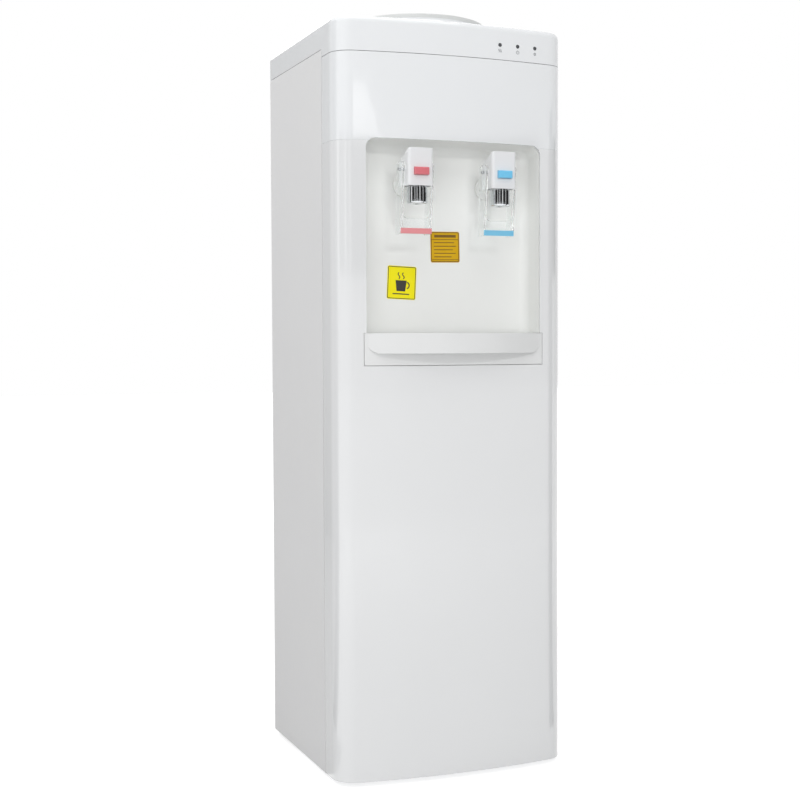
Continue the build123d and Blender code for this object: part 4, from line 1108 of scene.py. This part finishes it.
@dataclass
class TapSet:
    """One tap: housing, nozzle, push lever with its strip, button, spring and neck."""

    shop: Workshop
    tap: Tap
    housing_rounding: float = 1.6
    button_rounding: float = 0.8
    strip_rounding: float = 0.45
    lever_rounding: float = 0.9
    small_roundings: tuple[tuple[str, float], ...] = (
        ("lever_shaft", 0.3), ("valve_body", 0.4), ("tap_gasket", 0.2))
    spring_angle: float = 50.0
    bore: float = 5.0
    bore_chamfer: float = 0.8
    lip_roll: float = 2.2
    lip_height: float = 3.0
    inner: float = 9.06
    groove: float = 1.8
    groove_depth: float = 0.5
    groove_taper: float = 0.3
    nozzle_steps: int = 96
    nozzle_angle: float = 40.0
    window_corner: float = 7.0
    arm: float = 3.0
    plate_height: float = 19.0
    weld: float = 1.0
    lever_slope: float = 9.0

    def node(self, name: str) -> str:
        """Returns the tap's own node name."""
        return f"{self.tap.value}_{name}"

    def build(self) -> None:
        """Builds and dresses the tap's pieces."""
        strip = HOT_STRIP if self.tap is Tap.HOT else COLD_STRIP
        self.shop.soften(self.node("tap_housing"), self.housing_rounding, segments=4,
                         finish=TAP_WHITE)
        self.shop.soften(self.node("lock_button"), self.button_rounding)
        self.shop.soften(self.node("lever_strip"), self.strip_rounding, finish=strip)
        for name, width in self.small_roundings:
            self.shop.soften(self.node(name), width, segments=2)
        self.spring()
        self.nozzle()
        self.lever()

    def spring(self) -> None:
        """Replaces the stem spring by a smooth steel copy on no body, and works out its far end at
        the valve, which nothing reads.
        """
        node = self.node("stem_spring")
        low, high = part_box(node)
        middle = (low + high) / 2
        far = Spring(self.node("valve"), (middle.x, middle.y, high.z), (middle.x, middle.y, low.z))
        self.shop.polish(node, self.spring_angle, STEEL, flat=0.0, far=far)

    def nozzle(self) -> None:
        """Turns the plated nozzle, with a rolled lower lip and a groove under the housing."""
        node = self.node("nozzle")
        low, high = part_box(node)
        radius, top = (high.x - low.x) / 2 / MM, (high.z - low.z) / MM
        centre = ((low.x + high.x) / 2, (low.y + high.y) / 2)
        neck = radius - self.groove_depth
        profile = [(self.bore, self.bore_chamfer), (self.bore + self.bore_chamfer, 0.0),
                   *arc((radius - self.lip_roll, self.lip_roll), self.lip_roll, -90.0, 0.0,
                        QUARTER_STEPS),
                   (radius, top - self.groove), (neck, top - self.groove + self.groove_taper),
                   (neck, top), (self.inner, top), (self.inner, self.lip_height),
                   (self.bore, self.lip_height)]
        piece = lathe(f"{node}_shape", [(r * MM, low.z + z * MM) for r, z in profile], centre,
                      self.nozzle_steps)
        smooth(piece, self.nozzle_angle)
        self.shop.stand_in(piece, node, CHROME)

    def lever(self) -> None:
        """Joins the clear arms and the foot plate, with a round-cornered window between them."""
        node = self.node("lever")
        arms = cad_copy(node, f"{node}_arms")
        low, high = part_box(node)
        middle, half = (low.x + high.x) / 2, (high.x - low.x) / 2
        foot = low.z + self.plate_height * MM
        corner, weld = self.window_corner * MM, self.weld * MM
        gussets = bmesh.new()
        for side in (-1, 1):
            inner = middle + side * (half - self.arm * MM)
            start, end = inner - side * corner, inner + side * weld
            outline = [*arc((start, foot + corner), corner, -90.0, -90.0 + side * 90.0,
                            QUARTER_STEPS),
                       (end, foot + corner), (end, foot - weld), (start, foot - weld)]
            slab(gussets, [Vector((x, self.face(low, high, z), z)) for x, z in outline], self.arm)
        web = link_mesh(f"{node}_gussets", gussets)
        union = arms.modifiers.new("join", "BOOLEAN")
        union.operation = "UNION"
        union.solver = "EXACT"
        union.object = web
        piece = settle(arms, f"{node}_shape")
        bpy.data.objects.remove(web)
        round_edges(piece, self.lever_rounding, segments=3)
        self.shop.stand_in(piece, node, CLEAR)

    def face(self, low: Vector, high: Vector, height: float) -> float:
        """Returns the depth of the lever's sloping front edge at a height."""
        return low.y + self.lever_slope * MM * (1 - (height - low.z) / (high.z - low.z))


@dataclass(frozen=True)
class Screw:
    """A cross-recessed screw: its sizes in metres, and shares of its head."""

    head: float
    thick: float
    length: float
    shank: float
    crown: float = 0.72
    recess: float = 0.62
    bar: float = 0.24
    recess_height: float = 1.35
    head_sides: int = 28
    shank_sides: int = 16


@dataclass
class CoolingUnit:
    """What shows on the back and underneath, and the tanks and hoses inside."""

    shop: Workshop
    compressor_rounding: float = 0.8
    tube_angle: float = 60.0
    rounded: tuple[tuple[str, float, int, Finish | None], ...] = (
        ("condenser_brackets", 0.3, 2, None), ("drain_cap", 0.6, 3, None),
        ("cord_gland", 0.6, 3, None), ("switch_bezel", 0.8, 3, None),
        ("heating_rocker", 0.5, 3, HOT_RED), ("cooling_rocker", 0.5, 3, COLD_BLUE),
        ("feet", 0.9, 3, None), ("base_pan", 0.4, 2, None), ("rear_panel", 0.3, 2, None))
    hidden_angle: float = 35.0
    hidden: tuple[str, ...] = (
        "cold_tank", "cold_tank_jacket", "hot_tank", "heater_band", "evaporator_coil",
        "cold_hose", "hot_hose", "drain_hose", "link_hose", "compressor_grommets")
    wire_radius: float = 1.0
    wire_step: float = 12.5
    wire_sides: int = 10
    wire_angle: float = 40.0
    screw_head: float = 4.0
    screw_thick: float = 2.0
    screw_shank: float = 1.5
    screw_rows: int = 4
    screw_angle: float = 30.0

    def build(self) -> None:
        """Builds and dresses the rear pieces."""
        self.shop.soften("compressor", self.compressor_rounding)
        self.shop.polish("condenser_tube", self.tube_angle)
        for row in self.rounded:
            self.shop.soften(*row)
        for node in self.hidden:
            self.shop.polish(node, self.hidden_angle)
        self.wires()
        self.screws()

    def wires(self) -> None:
        """Repeats the condenser's upright wires with Geometry Nodes, on both faces of its tube."""
        low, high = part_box("condenser_wires")
        radius, step = self.wire_radius * MM, self.wire_step * MM
        rows = RepeatTree("condenser_wire_rows")
        count = round((high.x - low.x - 2 * radius) / step) + 1
        for face in (low.y + radius, high.y - radius):
            rows.row(start=Vector((low.x + radius, face, (low.z + high.z) / 2)),
                     step=Vector((step, 0, 0)), count=count)
        piece = rows.rods("condenser_wires_shape", radius, high.z - low.z, self.wire_sides,
                          BLACK_PAINT.material(self.shop.groups))
        smooth(piece, self.wire_angle)
        self.shop.stand_in(piece, "condenser_wires", BLACK_PAINT)

    def screws(self) -> None:
        """Repeats the rear panel's cross-recessed screws with Geometry Nodes."""
        low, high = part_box("rear_screws")
        screw = Screw(self.screw_head * MM, self.screw_thick * MM, high.y - low.y,
                      self.screw_shank * MM)
        step = (high.z - low.z - 2 * screw.head) / (self.screw_rows - 1)
        rows = RepeatTree("rear_screw_rows")
        for x in (low.x + screw.head, high.x - screw.head):
            rows.row(start=Vector((x, high.y - screw.thick / 2, low.z + screw.head)),
                     step=Vector((0, 0, step)), count=self.screw_rows)
        piece = rows.screws("rear_screws_shape", screw, STEEL.material(self.shop.groups))
        smooth(piece, self.screw_angle)
        self.shop.stand_in(piece, "rear_screws", STEEL)


class RepeatTree:
    """A Geometry Nodes tree that repeats one shape along straight rows."""

    def __init__(self, name: str) -> None:
        """Starts the tree.

        Args:
            name: The tree's name.
        """
        self.name = name
        self.rows: list[tuple[Vector, Vector, int]] = []
        self.tree = bpy.data.node_groups.new(name, "GeometryNodeTree")
        self.tree.is_modifier = True
        self.tree.interface.new_socket(name="Geometry", in_out="OUTPUT",
                                       socket_type="NodeSocketGeometry")
        self.inputs: dict[str, object] = {}
        self.entry = self.tree.nodes.new("NodeGroupInput")

    def row(self, start: Vector, step: Vector, count: int) -> None:
        """Adds a row: its first copy's middle, the way to the next one, and their count."""
        self.rows.append((start, step, count))

    def size(self, label: str, value: float) -> NodeSocket:
        """Adds a named size to the tree.

        Args:
            label: The input's name.
            value: Its value.

        Returns:
            The socket inside the tree.
        """
        kind = "NodeSocketInt" if isinstance(value, int) else "NodeSocketFloat"
        socket = self.tree.interface.new_socket(name=label, in_out="INPUT", socket_type=kind)
        self.inputs[socket.identifier] = value
        return self.entry.outputs[label]

    def add(self, kind: str, **items: object) -> NodeSocket:
        """Adds a node with its inputs by name and returns its first output."""
        return add_node(self.tree, f"GeometryNode{kind}", **items).outputs[0]

    def join(self, parts: Sequence[NodeSocket]) -> NodeSocket:
        """Joins several geometries.

        Args:
            parts: Their sockets.

        Returns:
            The joined geometry.
        """
        joined = self.tree.nodes.new("GeometryNodeJoinGeometry")
        for part in parts:
            self.tree.links.new(part, joined.inputs["Geometry"])
        return joined.outputs["Geometry"]

    def finish(self, name: str, shape: NodeSocket, turn: Place, material: Material) -> Object:
        """Repeats a shape along the rows and returns the plain mesh.

        Args:
            name: The piece's name.
            shape: The shape's geometry socket.
            turn: Each copy's turn about X, Y and Z, in radians.
            material: The material that is set on it.

        Returns:
            The piece, with no modifier.
        """
        copies = [self.add("InstanceOnPoints", Instance=shape, Rotation=turn,
                           Points=self.add("MeshLine", Start_Location=start, Offset=step,
                                           Count=count))
                  for start, step, count in self.rows]
        real = self.add("RealizeInstances", Geometry=self.join(copies))
        painted = self.add("SetMaterial", Geometry=real, Material=material)
        leave = self.tree.nodes.new("NodeGroupOutput")
        self.tree.links.new(painted, leave.inputs["Geometry"])
        carrier = link_object(f"{name}_carrier", bpy.data.meshes.new(name))
        modifier = carrier.modifiers.new(self.name, "NODES")
        modifier.node_group = self.tree
        for identifier, value in self.inputs.items():
            modifier[identifier] = value
        return settle(carrier, name)

    def rods(self, name: str, radius: float, length: float, sides: int,
             material: Material) -> Object:
        """Repeats an upright rod.

        Args:
            name: The piece's name.
            radius: The rod's radius.
            length: The rod's length.
            sides: How many faces go round it.
            material: Its material.

        Returns:
            The piece.
        """
        rod = self.add("MeshCylinder", Vertices=self.size("Sides", sides),
                       Radius=self.size("Rod Radius", radius),
                       Depth=self.size("Rod Length", length))
        return self.finish(name, rod, (0, 0, 0), material)

    def screws(self, name: str, screw: Screw, material: Material) -> Object:
        """Repeats a screw whose head looks to the back.

        Args:
            name: The piece's name.
            screw: The screw's sizes.
            material: Its material.

        Returns:
            The piece.
        """
        head, thick = screw.head, screw.thick
        disc = self.add("MeshCone", Vertices=screw.head_sides,
                        Radius_Bottom=self.size("Head Radius", head),
                        Depth=self.size("Head Height", thick), Radius_Top=screw.crown * head)
        reach, width = 2 * screw.recess * head, screw.bar * head
        arms = [self.add("Transform", Geometry=self.add("MeshCube", Size=size),
                         Translation=(0, 0, screw.recess_height * thick))
                for size in ((reach, width, thick), (width, reach, thick))]
        cut = self.tree.nodes.new("GeometryNodeMeshBoolean")
        cut.operation = "DIFFERENCE"
        self.tree.links.new(disc, cut.inputs["Mesh 1"])
        self.tree.links.new(self.join(arms), cut.inputs["Mesh 2"])
        shank = self.add("MeshCylinder", Vertices=screw.shank_sides, Radius=screw.shank,
                         Depth=screw.length - thick)
        sunk = self.add("Transform", Geometry=shank, Translation=(0, 0, (thick - screw.length) / 2))
        lifted = self.add("Transform", Geometry=self.join([cut.outputs["Mesh"], sunk]),
                          Translation=(0, 0, -thick / 2))
        return self.finish(name, lifted, (-math.pi / 2, 0, 0), material)


@dataclass(frozen=True)
class Lamp:
    """A softbox: its place, what it looks at, its size, its watts and whether gloss shows it."""

    name: str
    place: Place
    target: Place
    size: Point
    power: float
    mirrored: bool = False

    def hang(self) -> None:
        """Hangs the lamp in the scene."""
        data = bpy.data.lights.new(self.name, "AREA")
        data.shape = "RECTANGLE"
        data.size, data.size_y = self.size
        data.energy = self.power
        lamp = link_object(self.name, data)
        lamp.visible_glossy = self.mirrored
        lamp.location = self.place
        way = Vector(self.target) - Vector(self.place)
        lamp.rotation_euler = way.to_track_quat("-Z", "Y").to_euler()


@dataclass
class Studio:
    """Floor, lights, the cards that the glossy parts mirror, and the photograph's camera."""

    place: Place = (-0.7333, -1.8101, 0.5624)
    lens: float = 63.74
    sensor: float = 36.0
    heading: float = 21.454
    dip: float = 2.275
    roll: float = 0.227
    ambient: float = 0.46
    floor_half: float = 14.0
    floor_cells: int = 8
    floor_shade: float = 0.56
    floor_glow: float = 0.72
    floor_clear: Point = (0.7, 2.0)
    paper_roughness: float = 0.9
    lamps: tuple[Lamp, ...] = (
        Lamp("key_box", (-0.2, -1.75, 2.55), (0.0, 0.0, 0.8), (1.4, 0.8), 7.5),
        Lamp("left_fill", (-1.7, -2.1, 0.8), (0.0, 0.0, 0.6), (1.4, 1.2), 13.5),
        Lamp("front_fill", (0.0, -2.7, 0.4), (0.0, 0.0, 0.6), (1.0, 0.6), 4.8),
        Lamp("flash", (0.2, -2.4, 1.74), (0.0, 0.0, 0.7), (0.26, 0.2), 8.8),
        Lamp("left_box", (-2.0, 0.3, 2.2), (0.0, 0.0, 0.7), (1.0, 1.2), 20.5),
        Lamp("top_box", (0.0, -0.3, 3.0), (0.0, 0.0, 0.5), (1.8, 1.8), 8.0, mirrored=True),
        Lamp("rear_box", (0.6, 2.6, 1.6), (0.0, 0.0, 0.5), (1.6, 1.6), 14.0, mirrored=True),
    )
    card_distance: float = 2.25
    card_foot: float = 0.36
    card_lift: float = 0.004
    card_steps: int = 8
    stripe_rise: Point = (0.75, 1.13)
    stripe_turns: tuple[Point, ...] = ((-90.0, -50.0), (-42.0, -12.0), (-4.0, 20.0),
                                       (25.0, 42.0), (47.0, 76.0))
    post_rise: Point = (0.004, 1.2)
    post_turn: Point = (-64.0, -47.0)
    wall_rise: Point = (0.004, 2.4)
    corner_turn: Point = (88.0, 116.0)
    wall_turn: Point = (116.0, 168.0)
    patch_turn: Point = (64.0, 168.0)
    patch_reach: Point = (0.16, 0.36)
    dark_shade: float = 0.012
    wall_shade: float = 0.62
    glint_depth: float = -2.3
    glint_outline: tuple[Point, ...] = ((-0.3, 1.13), (0.196, 1.131), (0.036, 1.285),
                                        (-0.3, 1.285))
    glint_strength: float = 2.5

    def build(self) -> None:
        """Builds the whole stage."""
        bpy.context.scene.view_settings.view_transform = "Standard"
        self.camera()
        self.world()
        self.floor()
        for lamp in self.lamps:
            lamp.hang()
        self.glint()
        stripe = [(self.card_distance, z) for z in self.stripe_rise]
        foot = (self.card_foot, self.card_lift)
        post = [foot, *((self.card_distance, z) for z in self.post_rise)]
        wall = [foot, *((self.card_distance, z) for z in self.wall_rise)]
        patch = [(radius, self.card_lift) for radius in self.patch_reach]
        for index, turn in enumerate(self.stripe_turns):
            self.card(f"stripe_card_{index}", turn, stripe, self.dark_shade)
        self.card("post_card", self.post_turn, post, self.dark_shade)
        self.card("corner_card", self.corner_turn, wall, self.dark_shade)
        self.card("wall_card", self.wall_turn, wall, self.wall_shade)
        self.card("patch_card", self.patch_turn, patch, self.wall_shade)

    def camera(self) -> None:
        """Sets the camera where the photograph was taken from."""
        data = bpy.data.cameras.new("photo_camera")
        data.lens = self.lens
        data.sensor_width = self.sensor
        camera = link_object("photo_camera", data)
        yaw, dip, roll = (math.radians(a) for a in (self.heading, self.dip, self.roll))
        ahead = Vector((math.sin(yaw) * math.cos(dip), math.cos(yaw) * math.cos(dip),
                        -math.sin(dip)))
        right = Vector((math.cos(yaw), -math.sin(yaw), 0.0))
        down = ahead.cross(right)
        across = math.cos(roll) * right + math.sin(roll) * down
        up = math.sin(roll) * right - math.cos(roll) * down
        turn = Matrix((across, up, -ahead)).transposed().to_4x4()
        camera.matrix_world = Matrix.Translation(self.place) @ turn
        bpy.context.scene.camera = camera

    def world(self) -> None:
        """Lights the scene softly and shows white behind the object."""
        world = bpy.data.worlds.new("studio_world")
        bpy.context.scene.world = world
        world.use_nodes = True
        tree = world.node_tree
        soft = tree.nodes["Background"]
        soft.inputs["Color"].default_value = WHITE
        soft.inputs["Strength"].default_value = self.ambient
        white = add_node(tree, "ShaderNodeBackground", Color=WHITE, Strength=1.0)
        mix = add_node(tree, "ShaderNodeMixShader", Fac=self.seen(tree))
        tree.links.new(soft.outputs["Background"], mix.inputs[1])
        tree.links.new(white.outputs["Background"], mix.inputs[2])
        tree.links.new(mix.outputs["Shader"], tree.nodes["World Output"].inputs["Surface"])

    @staticmethod
    def seen(tree: NodeTree) -> NodeSocket:
        """Adds a mask of the rays that see a surface straight, mirrored or through glass.

        Args:
            tree: The tree to add it to.

        Returns:
            The mask socket.
        """
        rays = tree.nodes.new("ShaderNodeLightPath").outputs
        first = calc(tree, "MAXIMUM", rays["Is Camera Ray"], rays["Is Glossy Ray"])
        return calc(tree, "MAXIMUM", first, rays["Is Transmission Ray"])

    def paper(self, name: str, shade: float) -> tuple[Material, Node]:
        """Makes a matt grey for the stage.

        Args:
            name: The material's name.
            shade: Its grey, from 0 to 1.

        Returns:
            The material and its surface shader.
        """
        material = bpy.data.materials.new(name)
        material.use_nodes = True
        shader = material.node_tree.nodes["Principled BSDF"]
        shader.inputs["Base Color"].default_value = (shade, shade, shade, 1.0)
        shader.inputs["Roughness"].default_value = self.paper_roughness
        return material, shader

    def floor(self) -> None:
        """Lays a pale floor that shows white but keeps the object's shadow."""
        work = bmesh.new()
        bmesh.ops.create_grid(work, x_segments=self.floor_cells, y_segments=self.floor_cells,
                              size=self.floor_half)
        floor = link_mesh("studio_floor", work)
        material, shader = self.paper("pale_floor", self.floor_shade)
        tree = material.node_tree
        away = tree.nodes.new("ShaderNodeVectorMath")
        away.operation = "LENGTH"
        tree.links.new(tree.nodes.new("ShaderNodeTexCoord").outputs["Object"], away.inputs[0])
        near, far = self.floor_clear
        fade = add_node(tree, "ShaderNodeMapRange", Value=away.outputs["Value"], From_Min=near,
                        From_Max=far, To_Min=self.floor_glow)
        strength = calc(tree, "MULTIPLY", self.seen(tree), fade.outputs["Result"])
        glow = add_node(tree, "ShaderNodeEmission", Color=WHITE, Strength=strength)
        both = tree.nodes.new("ShaderNodeAddShader")
        tree.links.new(shader.outputs["BSDF"], both.inputs[0])
        tree.links.new(glow.outputs["Emission"], both.inputs[1])
        tree.links.new(both.outputs["Shader"], tree.nodes["Material Output"].inputs["Surface"])
        floor.data.materials.append(material)

    def card(self, name: str, turn: Point, section: Sequence[Point], shade: float) -> None:
        """Stands a curved card round the object that only mirrored rays see.

        Args:
            name: The card's name.
            turn: Where it starts and ends, in degrees to the left of straight ahead.
            section: Its radii and heights, from its inner or lower edge on.
            shade: Its grey, from 0 to 1.
        """
        work = bmesh.new()
        columns = []
        for step in range(self.card_steps + 1):
            angle = math.radians(turn[0] + (turn[1] - turn[0]) * step / self.card_steps)
            columns.append([work.verts.new((-r * math.sin(angle), -r * math.cos(angle), z))
                            for r, z in section])
        for here, there in zip(columns, columns[1:]):
            for row in range(len(section) - 1):
                work.faces.new((here[row], there[row], there[row + 1], here[row + 1]))
        self.mirror_only(link_mesh(name, work), shade, 0.0)

    def glint(self) -> None:
        """Hangs a glowing card whose mirror image is the bright patch at the header's left."""
        work = bmesh.new()
        work.faces.new([work.verts.new((x, self.glint_depth, z)) for x, z in self.glint_outline])
        self.mirror_only(link_mesh("glint_card", work), 0.0, self.glint_strength)

    def mirror_only(self, card: Object, shade: float, glow: float) -> None:
        """Paints a card of the stage and hides it from all but mirrored rays.

        Args:
            card: The card.
            shade: Its grey, from 0 to 1.
            glow: Its own light.
        """
        material, shader = self.paper(f"{card.name}_paper", shade)
        shader.inputs["Emission Color"].default_value = WHITE
        shader.inputs["Emission Strength"].default_value = glow
        card.data.materials.append(material)
        card.visible_camera = False
        card.visible_diffuse = False
        card.visible_transmission = False
        card.visible_shadow = False


def main() -> None:
    """Builds every sub-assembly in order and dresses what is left."""
    logging.basicConfig(level=logging.INFO, format="%(name)s: %(message)s")
    shop = Workshop()
    Casing(shop).build()
    Niche(shop).build()
    DripTray(shop).build()
    for tap in Tap:
        TapSet(shop, tap).build()
    CoolingUnit(shop).build()
    shop.finish_rest()
    Studio().build()


if __name__ == "__main__":
    main()
